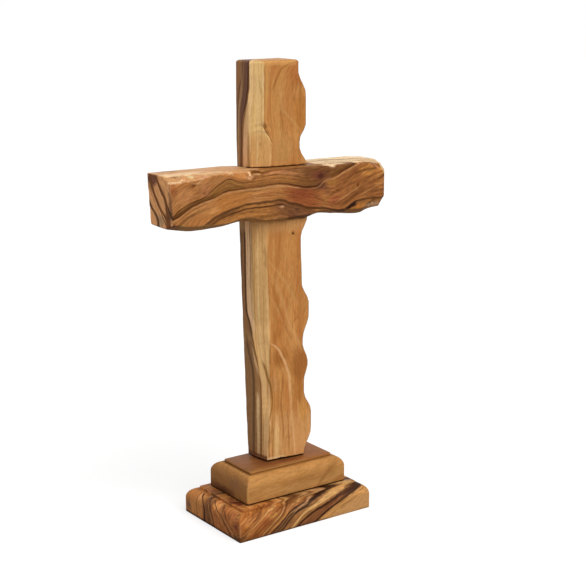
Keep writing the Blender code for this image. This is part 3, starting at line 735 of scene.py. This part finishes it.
postLook["veins"] = [
    # Down the left side: the black line at the edge of the heartwood, and what lies each side of it
    vein("#563420", [(150, -33.5), (198, -33), (206, -32.3), (214, -32.1), (220, -31.6), (225.4, -29.3),
         (232.3, -27), (240, -25.8), (250, -25.6)], 1.5, 0.9, [(110, 0), (160, 0.4), (196, 0.6), (212, 0.7),
         (222, 0.9), (234, 1), (250, 1)]),
    vein("#7C5442", [(205, -33.4), (214, -33.4), (225, -31.6), (232, -29.6), (240, -28.2), (250, -28)], 3.4,
         1.4, [(212, 0), (222, 0.7), (228, 0.9), (250, 0.95)]),
    vein("#644230", [(205, -36.6), (214, -36.4), (225, -35.4), (234, -34.4), (242, -31.6), (250, -31)], 1.0,
         1.0, [(204, 0), (212, 0.8), (250, 0.9)]),
    vein("#C29A70", [(205, -35.3), (214, -35.2), (221, -34.8), (227, -34.2), (232, -32.6), (238, -32),
         (250, -32)], 1.5, 1.2, [(150, 0), (196, 0.8), (228, 0.9), (238, 0.5), (250, 0.2)]),
    vein("#6A4A2C", [(120, -34.6), (163, -35)], 1.2, 1.0, between(110, 120, 166, 172, 0.7)),
    vein("#4A2A10", "heart", 1.4, 0.9, between(98, 108, 166, 172, 0.9), offset=-1.1),
    vein("#8A5A30", "heart", 0.5, 0.8, [(126, 0), (134, 0.8), (166, 0.9), (172, 0)], offset=3.9),
    vein("#775330", [(66, -24.6), (72, -24.4), (78, -24.5), (84, -25.4), (88, -26.6), (94, -29), (104, -31)],
         2.2, 1.4, [(30, 0.9), (96, 0.9), (104, 0)]),
    vein("#D8B488", [(82, -21.4), (85, -21.9), (89, -23.6), (95, -24.8), (98, -26.6)], 0.8, 0.7, [(80, 0),
         (84, 0.7), (95, 0.9), (98, 0)]),
    vein("#E4BC88", [(32, -21.1), (70, -21)], 2.2, 0.9, [(32, 0.9), (66, 0.95), (72, 0)]),
    vein("#8A5A28", "heart", 0.9, 0.9, [(30, 0.9), (40, 0.8), (66, 0.8), (100, 0.9), (106, 0)], offset=-0.3),
    vein("#F6D4A0", [(100, -24.2), (170, -24.8), (250, -24)], 0.8, 0.8, [(100, 0), (106, 0.8), (160, 0.7),
         (170, 0.2), (212, 0.6), (250, 0.7)], broken=0.9),
    vein("#A87A44", [(80, -20), (110, -22.4), (170, -22), (250, -21.5)], 0.7, 0.8, [(84, 0), (92, 0.7),
         (160, 0.6), (200, 0.4), (250, 0.3)], broken=0.9),
    vein("#F2CE94", [(70, -15.4), (90, -17.4), (120, -19.6), (170, -19.4), (250, -18.6)], 1.1, 1.0, [(66, 0),
         (74, 0.7), (140, 0.8), (170, 0.3), (212, 0.6), (250, 0.6)], broken=0.8),
    vein("#A4743E", [(60, -14.2), (76, -13.4), (100, -15.6), (170, -16), (250, -16)], 0.6, 0.8, [(50, 0),
         (60, 0.8), (120, 0.7), (170, 0.4), (212, 0.4), (250, 0.4)], broken=0.9),
    vein("#F0C88C", [(56, -11.8), (76, -12), (100, -12.6), (150, -12.8)], 1.0, 1.0, [(50, 0), (58, 0.8),
         (120, 0.7), (150, 0)], broken=0.8),
    # On the front
    # Painted highlights along the arris of the facet and on it near the top
    vein("#F6CE90", facetEdge, 0.7, 0.8, [(84, 0), (90, 0.5), (104, 0), (194, 0), (200, 0.6), (206, 0.2),
         (212, 0.5), (232, 0.4), (238, 1), (242, 1), (245, 0)], on="face", offset=-0.4),
    blot("#FFE4B8", (-12.4, -8, 240), (1.5, 4, 5), 0.9, 0.8),
    blot("#FFE4B8", (-12.9, -8, 243.5), (1.2, 4, 3), 0.7, 0.9),
    vein("#99602A", facetEdge, 0.5, 0.7, [(84, 0), (90, 0.8), (98, 0.8), (102, 0), (118, 0), (124, 0.6),
         (150, 0.4), (160, 0), (212, 0), (218, 0.5), (246, 0.5)], on="face", offset=0.5),
    vein("#8A5418", [(208, -7), (210, -8.1), (213, -9.9), (216, -11.7)], 0.4, 0.5,
         between(207, 209, 216, 218), on="face"),
    vein("#8A5418", [(212, -8.4), (214.3, -9.5), (216.5, -10.7)], 0.3, 0.5, between(211, 213, 217, 218, 0.9),
         on="face"),
    vein("#E6AE74", [(32, 6.9), (47.5, 5.6), (59.4, 4.3), (68, 3.9), (74, 3.5), (79.7, 3.0), (83.8, 1.7),
         (87.4, 0.5), (91, -1.4), (94.8, -3.3), (97.3, -5.7), (99.4, -8.8)], 1.4, 1.6, [(32, 0.3), (40, 0.8),
         (54, 0.7), (62, 0.6), (68, 0.8), (76, 1), (97, 1), (100, 0)], **onFront),
    vein("#98662C", [(56, -9), (61.4, -8), (65.8, -7.3), (71, -7.5), (76.2, -8.5), (81.3, -9.8),
         (86.8, -10.9)], 0.8, 0.8, between(54, 58, 86, 90, 0.9), **onFront),
    vein("#ECB880", [(60, -16), (65, -16.2), (71.8, -17), (78.7, -18.4), (85.4, -21.2), (93.1, -24.4)], 0.9,
         0.8, between(60, 66, 93, 96, 0.8)),
    vein("#E8B880", [(30, -14.4), (60, -14.4)], 2.6, 1.4, [(32, 1), (52, 0.8), (60, 0)]),
    vein("#8A5624", [(30, -11.9), (60, -11.9)], 0.7, 0.7, [(32, 1), (52, 0.9), (58, 0)]),
    vein("#8A5A28", [(30, -17), (50, -16.8), (64, -16.4)], 0.5, 0.6, [(32, 0.9), (50, 0.8), (60, 0)]),
    vein("#A4682E", [(30, -9.4), (46, -9.2), (60, -10)], 0.5, 0.7, [(32, 0.9), (50, 0.8), (58, 0)]),
    vein("#ECBA7E", [(30, -6.5), (60, -6.4)], 2.2, 1.4, [(32, 0.7), (48, 0.7), (62, 0)]),
    vein("#A0642F", [(30, -2.4), (48, -2.3), (66, -3.5), (77, -2.4)], 1.0, 1.0, between(36, 46, 76, 84, 0.7)),
    vein("#A0642F", [(30, 2), (39, 1.8), (54, 1.1)], 0.7, 0.9, [(34, 0), (38, 0.8), (56, 0.7), (62, 0)]),
    vein("#D69C60", [(88, 13), (95.8, 9.7), (107.9, 3.6), (119.5, -0.1), (131, -4.5), (140, -8)], 1.8, 2.2,
         [(90, 0), (98, 0.7), (130, 0.6), (138, 0)], **onFront),
    vein("#D09458", [(92, 6.5), (96.5, 4.7), (108.3, 0.5), (118, -4.5), (126, -9.3)], 1.4, 2.0,
         between(92, 98, 122, 127, 0.6), **onFront),
    vein("#D29A5C", [(118, 9), (127.4, 3.4), (136.4, -2.7), (144, -8.7)], 1.6, 2.0, [(118, 0), (124, 0.6),
         (142, 0.5), (148, 0)], **onFront),
    vein("#A2642C", [(98, 5), (105, 1.8), (117, -2.6), (131, -7.5)], 1.2, 1.6,
         between(98, 104, 130, 134, 0.5), **onFront),
    vein("#D29A5C", [(212, 11), (216, 7.2), (219.9, 3.6), (224.2, -0.6), (229.5, -1.8), (238, -2)], 2.0, 2.4,
         [(212, 0), (216, 0.5), (232, 0.6), (238, 0)], **onFront),
    # Painted highlights on the rounded top edge and in a row above the foot
    patch("#E4A65E", Z=(247.4, 252), X=(-12, 7), soft=1.4, amount=0.6),
    patch("#F0CA94", Z=(33, 34.2), X=(-13, 0), soft=0.7, amount=0.6),
    vein("#D8A060", [(36, 12), (49, 11.3), (57.3, 9.4), (63.3, 8.6)], 0.9, 0.9, between(40, 46, 62, 66, 0.8),
         on="face"),
    vein("#A06428", [(237, -6), (240, -4.8), (244, -2.5), (247, 0.4), (248.3, 5)], 1.0, 1.0,
         [(234, 0), (238, 0.8), (249, 0.8)], on="face"),
    blot("#5E3408", (5.3, -7.5, 159), (1.1, 3, 1.2), blur=0.7),
    patch("#2A0C04", Z=(30, 32.9), soft=0.5),     # the glue line at its foot, with painted shade in the joint
    # Painted shade in the joint, deeper at the front and low on the left side
    blot("#2A0C04", (-2, -8, 32.6), (9, 3, 1.3), blur=0.4),
    patch("#662C18", faces=((-1, 0, 0), 0.5, 0.9), Z=(30, 35), soft=1.4, amount=0.8),
    # Painted shade on the right side and its arris
    patch("#96602E", faces=((1, 0, 0), 0.25, 0.6), amount=0.8),
    # Painted light under the crossbar, against the shadow it casts
    patch("#E2AC70", Z=(160, 167), soft=5.0, amount=0.4),
]


def makePost():
    mesh = handMarks(softened("upright_post", postLook), postLook)
    addPiece("carvedPost", mesh, "upright_post", postLook)


# The two tiers of the base: moulded blocks with a quarter round and a small square step above it

# What both tiers share
tierLook = {
    "cornerRound": 0.9,     # mm, the worn upright corners
    "arris": 0.3,           # mm, the broken edges
    "arrisTurn": 0.3,       # share of the arris at which it turns
    "cornerTurns": 5,       # facets of a corner, of the flat side and of the quarter round
    "sideSteps": 4,
    "roundSteps": 14,
    "sharpAngle": 40,       # degrees
    "fineness": 1.5,
    "waveSize": 12.0,
    "along": (1, 0, 0),
    "face": (0, 0, 1),
}

lowerLook = {
    **tierLook,
    "name": "waxedOliveFigured",
    "slot": "figured_olive",
    "round": 5.8,           # mm
    "step": 1.4,            # mm
    "waveDepth": 0.06,
    "across": (0, 0, 1),
    "deep": (0, 1, 0),
    "lean": [(-28, 0), (-21, 0), (-14, 4), (-6, 10), (0, 15), (6, 26), (12, 46), (20, 76), (28, 108)],
    "waverReach": 0.7,
    "waverSize": 4.0,
    "colours": ("#A6622C", "#C2854A"),
    "guides": {
        "first": [(-44, -13), (-25, -0.4), (-20.7, 2.7), (-15.4, 6.6), (-11.2, 10.1), (-3.7, 12), (3.8, 13),
                  (10.9, 13.9), (17.1, 15.1), (44, 22)],
        "next": [(-44, -18), (-20, -2), (-15.4, 1.4), (-10.8, 5.4), (-6.8, 8.5), (-0.4, 10.4), (7, 12.7),
                 (15.5, 13.8), (24.4, 15.4), (44, 20)],
        "light": [(-44, -24), (-14, -3), (-7.4, 2.3), (-1.4, 7.3), (6.9, 9.9), (15.4, 12.1), (26.2, 13.9),
                  (30.4, 14.4), (44, 17)],
        "second": [(-44, -26), (-12, -3), (-4.8, 2.2), (2.6, 6.3), (10.9, 9), (20.6, 11.6), (30.4, 13.3),
                   (34.5, 13.9), (44, 16)],
        "third": [(-44, -31), (-2, -3.2), (6, 0.9), (12.6, 4.3), (20, 7.6), (28.6, 10.9), (37, 13.1),
                  (44, 15)],
    },
    "flow": [(-260, 0), ("third", 260), ("second", 263), ("light", 265), ("next", 267), ("first", 271),
             (60, 320)],
    "mottleSize": (12.0, 4.0, 6.0),
    "broadSize": (24.0, 2.0, 8.0),
    "thinSize": (9.0, 0.6, 3.5),
    "thinShare": 0.66,
    "ringSize": (36.0, 3.0, 12.0),
    "ringWidth": 0.03,
    "ringShade": 0.5,
    "ringColour": "#6E4018",
    "streakTints": [(0.36, (0.60, 0.50, 0.40)), (0.66, (1.55, 1.52, 1.42)), (0.44, (0.92, 0.87, 0.80)),
                    (0.55, (1.22, 1.20, 1.16))],
    "fibreShade": 0.22,
    "poreColour": "#56341A",
    "endGrain": 0.97,
    "bump": 0.3,
}

lowerLook["areas"] = [
    patch("#8E5A36", over="third", under="second", soft=0.8),
    patch("#66442A", over="next", under="first"),
    patch("#80552F", over="first", up=0.5, Z=(8.2, 17), soft=2.0, amount=0.85,
          shown=[(-14, 0), (-5, 1), (34, 1)]),
    patch("#BE8446", over="first", up=1.0, Z=(-2, 9), soft=2.0, amount=0.6, faces=frontSide,
          shown=between(-34, -24, -4, 2)),
    patch("#9C663C", over="third", up=-4.5, under="third", soft=2.4, amount=0.9, shown=[(-6, 0), (0, 1),
          (22, 1), (36, 0.2)]),
    patch("#945626", over="first", soft=2.0, amount=0.55, faces=frontSide),
    patch("#9C6A3C", over="second", under="next"),
    patch("#C18C52", under="third", shown=[(-12, 0), (0, 1)]),
    blot("#94522A", (-27, -28, 7), (10, 6, 5), 0.8, 1.0),
    blot("#8E5428", (-19, -22, 14), (8, 6, 3), 0.7, 1.0),
    blot("#D0954E", (-22, -28, 10), (6, 6, 3), 0.7, 0.9),
    blot("#C08248", (-37, -28, 10), (6, 6, 5), 0.7, 0.9),
    blot("#7C4824", (-28, -28, 1.5), (14, 6, 3), 0.7, 0.9),
    # The left side, where the layers stand nearly upright
    patch("#D18C4E", faces=leftSide, Y=(9, 40), soft=1.5),
    patch("#945F34", faces=leftSide, Y=(1, 9.5), soft=1.5),
    patch("#B6703A", faces=leftSide, Y=(-20, 1), soft=1.5),
    blot("#F0AC6C", (-43, 14.5, 13), (3, 2.5, 3), blur=0.8),
    blot("#D88A4C", (-43, 20, 12), (4, 5, 3), 0.8, 1.0),
    blot("#7A5A44", (-43, 24, 5), (3, 5, 6), 0.9, 1.0),
    blot("#ECA25E", (-41, -2.6, 12.6), (4, 4.5, 3.2)),
    blot("#B26A3E", (-42, -19.5, 12), (5, 5, 3.5), 0.8, 0.9),
    blot("#94502C", (-43, -24, 8), (4, 5, 5), blur=0.8),
    # Painted shade on the ledge in front of the upper tier's left side
    blot("#6A3018", (-35, -11, 15.4), (4, 10, 3), faces=levelTop, blur=0.7),
    blot("#8A5634", (-36, 9.5, 15.4), (4, 5, 3), faces=levelTop, blur=0.7),
]

lowerLook["veins"] = [
    vein("#CC9658", "first", 0.6, 0.8, [(-40, 0.5), (-20, 1), (20, 0.8)], offset=1.5, broken=0.6),
    vein("#3A1C08", "first", 0.9, 0.8, [(-44, 0.6), (-20, 1), (44, 1)], broken=0.2),
    vein("#A47448", "first", 0.4, 0.6, [(-44, 0.3), (-8, 0.4), (44, 0.9)], offset=-1.3, broken=0.9),
    vein("#B68252", "first", 0.4, 0.4, [(-20, 0), (-12, 1), (30, 1)], offset=-0.9, broken=0.8),
    vein("#A87848", "first", 0.4, 0.5, between(-20, -12, 10, 16), offset=-3.0, broken=0.9),
    vein("#341C0A", "first", 0.7, 0.6, [(-44, 0.5), (44, 0.9)], offset=-2.2, broken=0.4),
    vein("#54341A", "first", 0.8, 0.7, [(-32, 0), (-24, 0.8), (24, 0.9), (34, 0)], offset=3.4, broken=0.5),
    vein("#D2A466", "first", 0.7, 0.8, [(-32, 0), (-24, 0.8), (12, 0.7), (18, 0)], offset=4.6, broken=0.6),
    vein("#5A381A", "first", 0.6, 0.7, between(-32, -26, 10, 18, 0.8), offset=5.8, broken=0.7),
    vein("#C89A62", "first", 0.5, 0.6, between(-6, 0, 22, 28, 0.8), offset=2.4, broken=0.8),
    vein("#C89868", "next", 0.6, 0.7, between(-12, -4, 14, 20), offset=1.7, broken=0.7),
    vein("#301808", "next", 1.2, 0.9, [(-44, 0.7), (44, 1)], offset=0.4, broken=0.2),
    vein("#DCA868", "light", 1.8, 1.0, [(-20, 0.2), (-10, 0.8), (0, 1), (44, 1)], offset=0.3, broken=0.3),
    vein("#3E1E0A", "second", 1.7, 0.9, [(-30, 0.4), (-10, 1), (44, 1)], offset=-0.5, broken=0.2),
    vein("#361A08", "third", 1.5, 0.9, [(-30, 0.4), (0, 1), (44, 1)], broken=0.2),
    vein("#5A3418", "third", 0.5, 0.6, [(-30, 0.4), (0, 1), (44, 1)], offset=2.4, broken=0.7),
    vein("#6A3A14", [(-44, -22), (-36, 1), (-30, 6.6), (-24, 10.3), (-17, 12.6), (-8, 14), (44, 30)], 0.6,
         0.8, [(-38, 0.9), (-10, 0.9), (0, 0)], broken=0.7),
    vein("#6E3E18", [(-44, -16), (-38, -2), (-30, 4.6), (-24, 8), (-17, 11), (44, 26)], 0.6, 0.8,
         [(-40, 0.9), (-20, 0.9), (-10, 0)], broken=0.9),
    vein("#DCA464", [(-44, -2), (-40, 2.5), (-34, 7.5), (-28, 11.4), (-20, 13.6), (44, 34)], 0.8, 0.8,
         [(-38, 0.5), (-20, 0.9), (-6, 0)], broken=0.7),
    vein("#74441C", [(-44, 2), (-40, 6), (-34, 10.5), (-28, 13.6), (-20, 15), (44, 36)], 0.5, 0.7,
         [(-44, 0.9), (-20, 0.9), (-6, 0)], broken=0.8),
    # Down the left side
    vein("#2A1206", [(0, 7.2), (8.1, 8), (11.6, 11), (13, 13.2), (15.5, 15.4)], 1.1, 0.7, faces=leftTurn,
         on="end"),
    vein("#4A2A12", [(0, -2.6), (3.7, -1.2), (8.3, 0.7), (11.3, 3.2), (13.4, 6), (15.5, 9)], 1.0, 0.8,
         faces=leftTurn, on="end"),
    vein("#6A4220", [(0, 15), (7, 15.8), (15, 16.6)], 0.8, 0.8, [(-44, 0.7), (44, 0.7)], faces=leftTurn,
         on="end"),
    vein("#56321A", [(0, -20), (3.7, -16.2), (5.6, -13.3), (8.6, -10.3), (10.3, -5.7), (11.5, -3)], 1.0, 0.9,
         faces=leftTurn, on="end"),
    vein("#5C3820", [(0, -26), (3.5, -22.1), (5.9, -19.2), (8, -15.3), (10.8, -12.4), (13, -8.3), (15, -5)],
         0.9, 0.9, faces=leftTurn, on="end"),
    vein("#D09A68", [(0, -23), (3.7, -19), (5.9, -16), (8.2, -12.6), (10.5, -9), (13, -6)], 0.7, 0.8,
         faces=leftTurn, on="end", broken=0.6),
    # Painted shade along the bottom edges of the left side and the front
    patch("#2E1C10", faces=((-1, 0, 0), 0.5, 0.8), Z=(-2, 1.2), soft=1.4, amount=0.9),
    patch("#4E2E18", faces=((0, -1, 0), 0.5, 0.8), Z=(-2, 0.8), amount=0.75),
    patch("#C8935A", under="third", down=-5.0, soft=3.0, amount=0.5, shown=[(-4, 0), (8, 1)]),
    # Painted shade at the bottom of the front-left corner
    blot("#50301A", (-42, -27, 2), (7, 7, 4), 0.7, 0.9),
    # Painted highlight down the front-left corner
    patch("#DC9C6A", X=(-44.5, -43.1), Y=(-28.5, -27.2), Z=(3, 11), soft=1.2, amount=0.4),
]

upperLook = {
    **tierLook,
    "name": "waxedOlivePlain",
    "slot": "plain_olive",
    "round": 5.65,
    "step": 1.5,
    "waveDepth": 0.05,
    "across": (0, -0.5, 1),
    "deep": (0, 1, 0.3),
    "lean": [(-60, 0), (60, 0)],
    "waverReach": 0.5,
    "waverSize": 6.0,
    "colours": ("#A9743D", "#BD8B52"),
    "guides": {"even": [(-40, 20), (0, 24), (40, 30)]},
    "flow": [(-40, 0), ("even", 60), (90, 130)],
    "mottleSize": (22.0, 6.0, 10.0),
    "broadSize": (40.0, 3.6, 12.0),
    "thinSize": (20.0, 1.0, 6.0),
    "thinShare": 0.45,
    "ringSize": (60.0, 5.0, 20.0),
    "ringWidth": 0.02,
    "ringShade": 0.25,
    "ringColour": "#8A5A28",
    "streakTints": [(0.3, (0.93, 0.90, 0.83)), (0.7, (1.27, 1.27, 1.24)), (0.42, (1.05, 1.04, 1.02)),
                    (0.56, (1.15, 1.15, 1.14))],
    "fibreShade": 0.13,
    "poreColour": "#7A4E22",
    "endGrain": 0.92,
    "bump": 0.22,
}

upperLook["areas"] = [
    patch("#BC8244", Z=(24.5, 30.3), soft=3.0, amount=0.5),
    # The top: painted shade, deepest round the post's foot, with the glue's stain there
    patch("#87552C", Z=(31.3, 33), soft=0.4, amount=0.95),
    patch("#945A2A", Z=(31.3, 33), X=(8, 40), soft=1.6),
    patch("#A5723F", Z=(31.3, 33), X=(-28, 10), Y=(-20, -11.5), soft=3.0, amount=0.7),
    blot("#6E3A1E", (-12, -6, 31.7), (9, 12, 4), 0.7, 1.0, Z=(31.3, 33)),
    blot("#5E2814", (0, -8.5, 31.7), (16, 4, 4), 0.7, 1.0, Z=(31.3, 33)),
    blot("#8E6430", (24, -19, 24), (6, 6, 8), 0.35, 1.0),
    blot("#9A6C30", (3, -19, 26), (5, 6, 8), 0.3, 1.0),
    # The left side: painted shade over it, darkest low down above the lower tier
    patch("#A8733E", faces=upperLeft),
    patch("#6E4426", faces=upperLeft, Y=(-6, 30), Z=(10, 20), soft=5.0, amount=0.7),
    blot("#94664A", (-33, -6, 24), (4, 9, 6), 0.5, 1.0),
    blot("#603820", (-33, 5, 17), (5, 12, 4), 0.9, 0.8),
    blot("#AA7644", (-33, -16, 25), (4, 4, 8), 0.5, 0.9),
]

upperLook["veins"] = [
    # Painted shade on the riser above the quarter round
    patch("#7A4A1C", Z=(30.1, 31.0), soft=0.5, amount=0.85),
    # Painted highlight down the front-left corner
    patch("#DCA662", X=(-33.4, -32.1), Y=(-19.4, -18), Z=(17, 26), soft=0.9, amount=0.55),
    vein("#8A5826", [(12, 14), (17, 20), (22, 24.5), (28, 28)], 3.0, 3.0, between(10, 15, 24, 30), on="face",
         amount=0.45),
    patch("#341404", Z=(14, 16.4), soft=0.5),     # the glue line under it, with painted shade in the joint
]

# Holes for the two screws, cut up through both tiers, in millimetres
holeLook = {
    "gap": 0.3,             # clearance round a screw
    "headRim": 0.4,
    "threadRadius": 1.75,
    "below": 5.0,           # how far the cut starts below the base, and ends past the point
    "beyond": 2.0,
    "sides": 32,
}


def roundedOutline(x, y, z, radius, turns, stepsX, stepsY):
    # A level rectangle with round corners, with the same number of points whatever its size
    outline = []
    for quarter, (sideX, sideY) in enumerate(((1, 1), (-1, 1), (-1, -1), (1, -1))):
        for turn in range(turns + 1):
            angle = math.pi / 2 * (quarter + turn / turns)
            outline.append((sideX * (x - radius) + radius * math.cos(angle),
                            sideY * (y - radius) + radius * math.sin(angle), z))
        steps = stepsY if quarter % 2 else stepsX
        run = 2 * ((y if quarter % 2 else x) - radius) / steps
        lastX, lastY, _ = outline[-1]
        stepX, stepY = ((-run, 0), (0, -run), (run, 0), (0, run))[quarter]
        outline += [(lastX + stepX * i, lastY + stepY * i, z) for i in range(1, steps)]
    return outline


def mouldedProfile(height, look):
    # How far in from the side, and how high, at each point up the moulding
    arris, radius, step = look["arris"] * mm, look["round"] * mm, look["step"] * mm
    turn = arris * look["arrisTurn"]
    shoulder = height - step - radius
    profile = [(arris, 0.0), (turn, turn), (0.0, arris)]
    steps = look["sideSteps"]
    profile += [(0.0, arris + (shoulder - arris) * i / steps) for i in range(1, steps)]
    steps = look["roundSteps"]
    for i in range(steps + 1):
        angle = math.pi / 2 * i / steps
        profile.append((radius * (1 - math.cos(angle)), shoulder + radius * math.sin(angle)))
    profile += [(radius, height - step + arris / 2), (radius, height - arris),
                (radius + turn, height - turn), (radius + arris, height)]
    return profile


def screwHole(node):
    # What one screw needs free: its head's sink, and a hole past its point
    low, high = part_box(node)
    centre = (low + high) / 2
    head = (high.x - low.x) / 2 + holeLook["gap"] * mm
    shank = (holeLook["threadRadius"] + holeLook["gap"]) * mm
    rim = low.z + (holeLook["headRim"] + holeLook["gap"]) * mm
    profile = [(head, cadLow.z - holeLook["below"] * mm), (head, rim), (shank, rim + head - shank),
               (shank, high.z + holeLook["beyond"] * mm)]
    sides = holeLook["sides"]
    return loft([[(centre.x + radius * math.cos(2 * math.pi * i / sides),
                   centre.y + radius * math.sin(2 * math.pi * i / sides), z) for i in range(sides)]
                 for radius, z in profile])


def makeTier(name, node, look):
    low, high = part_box(node)
    centre, half = (low + high) / 2, (high - low) / 2
    stepsX, stepsY = (round(2 * side / (look["fineness"] * mm)) for side in (half.x, half.y))
    rings = []
    for inset, height in mouldedProfile(high.z - low.z, look):
        outline = roundedOutline(half.x - inset, half.y - inset, low.z + height, look["cornerRound"] * mm,
                                 look["cornerTurns"], stepsX, stepsY)
        rings.append([(centre.x + x, centre.y + y, z) for x, y, z in outline])
    blank = addObject("blank", handMarks(meshOf(loft(rings), name), look))
    holes = []
    for screw in screwNodes:
        hole = addObject("hole", meshOf(screwHole(screw), "hole"))
        cut = blank.modifiers.new("cut", "BOOLEAN")
        cut.operation = "DIFFERENCE"
        cut.solver = "EXACT"
        cut.object = hole
        holes.append(hole)
    mesh = applied(blank)
    for hole in holes:
        bpy.data.objects.remove(hole)
    mesh.shade_smooth()
    mesh.set_sharp_from_angle(angle=math.radians(look["sharpAngle"]))
    addPiece(name, mesh, node, look)


# The screws keep their CAD shape

screwLook = {
    "name": "zincPlatedSteel",
    "slot": "zinc_plated_steel",
    "colour": "#B9B7AE",
    "cloudSize": 1.5,       # mm, the size of the plating's dull clouds
    "cloudDetail": 3.0,
    "cloudShade": (0.85, 1.1),
    "roughness": (0.24, 0.44),
}


def zincPlate(look):
    # Zinc-plated steel, barrel plated and passivated: grey metal with faint dull clouds
    made, tree, shader = newMaterial(look["name"])
    place = addNode(tree, "TexCoord").outputs["Object"]
    clouds = addNode(tree, "TexNoise", None, {"Vector": place, "Scale": 1 / (look["cloudSize"] * mm),
                                              "Detail": look["cloudDetail"]})
    dim, bright = look["cloudShade"]
    shade = addNode(tree, "MapRange", None, {"Value": clouds, "To Min": dim, "To Max": bright})
    base = addNode(tree, "Mix", {"data_type": "RGBA", "blend_type": "MULTIPLY"},
                   {"Factor": 1.0, 6: hexColour(look["colour"]), 7: shade})
    glossy, matt = look["roughness"]
    dull = addNode(tree, "MapRange", None, {"Value": clouds, "To Min": glossy, "To Max": matt})
    feed(tree, shader, {"Base Color": base.outputs[2], "Roughness": dull, "Metallic": 1.0})
    return made


def finishScrews():
    zinc = zincPlate(screwLook)
    for node in screwNodes:
        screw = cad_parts[node]
        screw.data.materials.clear()
        screw.data.materials.append(zinc)
    print("screws: zinc plate")


# The studio: a white floor, a soft key light and a white surround

studioLook = {
    "floorSize": 6.0,       # m
    "floorColour": "#B6B6B6",
    "floorRoughness": 0.9,
    "floorWhite": 0.66,     # added to what the camera sees of the floor, and to nothing else
    "ambient": 0.44,
    "keyStrength": 1.9,
    "keyAngle": 50.0,       # degrees: wide, so that shadows stay soft
    "keyFrom": (0.12, -0.68, 0.70),
}

cameraLook = {
    "from": (-0.41328, -0.59537, 0.29664),
    "at": (0.00696, -0.00495, 0.12486),
    "lens": 84.41,          # mm, for a sensor 36 mm wide
    "sensor": 36.0,
    "nearest": 0.01,        # m
}


def makeStudio():
    look = studioLook
    half = look["floorSize"] / 2
    shape = bmesh.new()
    shape.faces.new([shape.verts.new(corner) for corner in
                     ((-half, -half, 0), (half, -half, 0), (half, half, 0), (-half, half, 0))])
    floor = addObject("studioFloor", meshOf(shape, "studioFloor"))
    paper, tree, shader = newMaterial("whitePaper")
    seen = addNode(tree, "LightPath").outputs["Is Camera Ray"]
    white = addNode(tree, "Math", "MULTIPLY", {0: seen, 1: look["floorWhite"]})
    feed(tree, shader, {"Base Color": hexColour(look["floorColour"]), "Roughness": look["floorRoughness"],
                        "Specular IOR Level": 0.0, "Emission Color": (1, 1, 1, 1),
                        "Emission Strength": white})
    floor.data.materials.append(paper)

    scene = bpy.context.scene
    scene.world = bpy.data.worlds.new("whiteSurround")
    scene.world.use_nodes = True
    tree = scene.world.node_tree
    tree.nodes.clear()
    path = addNode(tree, "LightPath")
    seen = addNode(tree, "Math", "MAXIMUM",
                   {0: path.outputs["Is Camera Ray"], 1: path.outputs["Is Glossy Ray"]})
    seen = addNode(tree, "Math", "MAXIMUM", {0: seen, 1: path.outputs["Is Transmission Ray"]})
    strength = addNode(tree, "MapRange", None, {"Value": seen, "To Min": look["ambient"], "To Max": 1.0})
    sky = addNode(tree, "Background", None, {"Color": (1, 1, 1, 1), "Strength": strength})
    addNode(tree, "OutputWorld", None, {"Surface": sky})

    lamp = bpy.data.lights.new("key", "SUN")
    lamp.energy = look["keyStrength"]
    lamp.angle = math.radians(look["keyAngle"])
    key = addObject("key", lamp)
    key.rotation_euler = Vector(look["keyFrom"]).to_track_quat("Z", "Y").to_euler()
    print("studio: floor, surround and key light")


def makeCamera():
    look = cameraLook
    view = bpy.data.cameras.new("camera")
    view.lens = look["lens"]
    view.sensor_width = look["sensor"]
    view.clip_start = look["nearest"]
    camera = addObject("camera", view)
    camera.location = look["from"]
    aim = Vector(look["at"]) - Vector(look["from"])
    camera.rotation_euler = aim.to_track_quat("-Z", "Y").to_euler()
    bpy.context.scene.camera = camera
    bpy.context.scene.view_settings.view_transform = "Standard"
    print("camera set")


makeCrossbar()
makePost()
makeTier("lowerTier", "lower_plinth", lowerLook)
makeTier("upperTier", "upper_plinth", upperLook)
finishScrews()
makeStudio()
makeCamera()

bpy.context.view_layer.update()
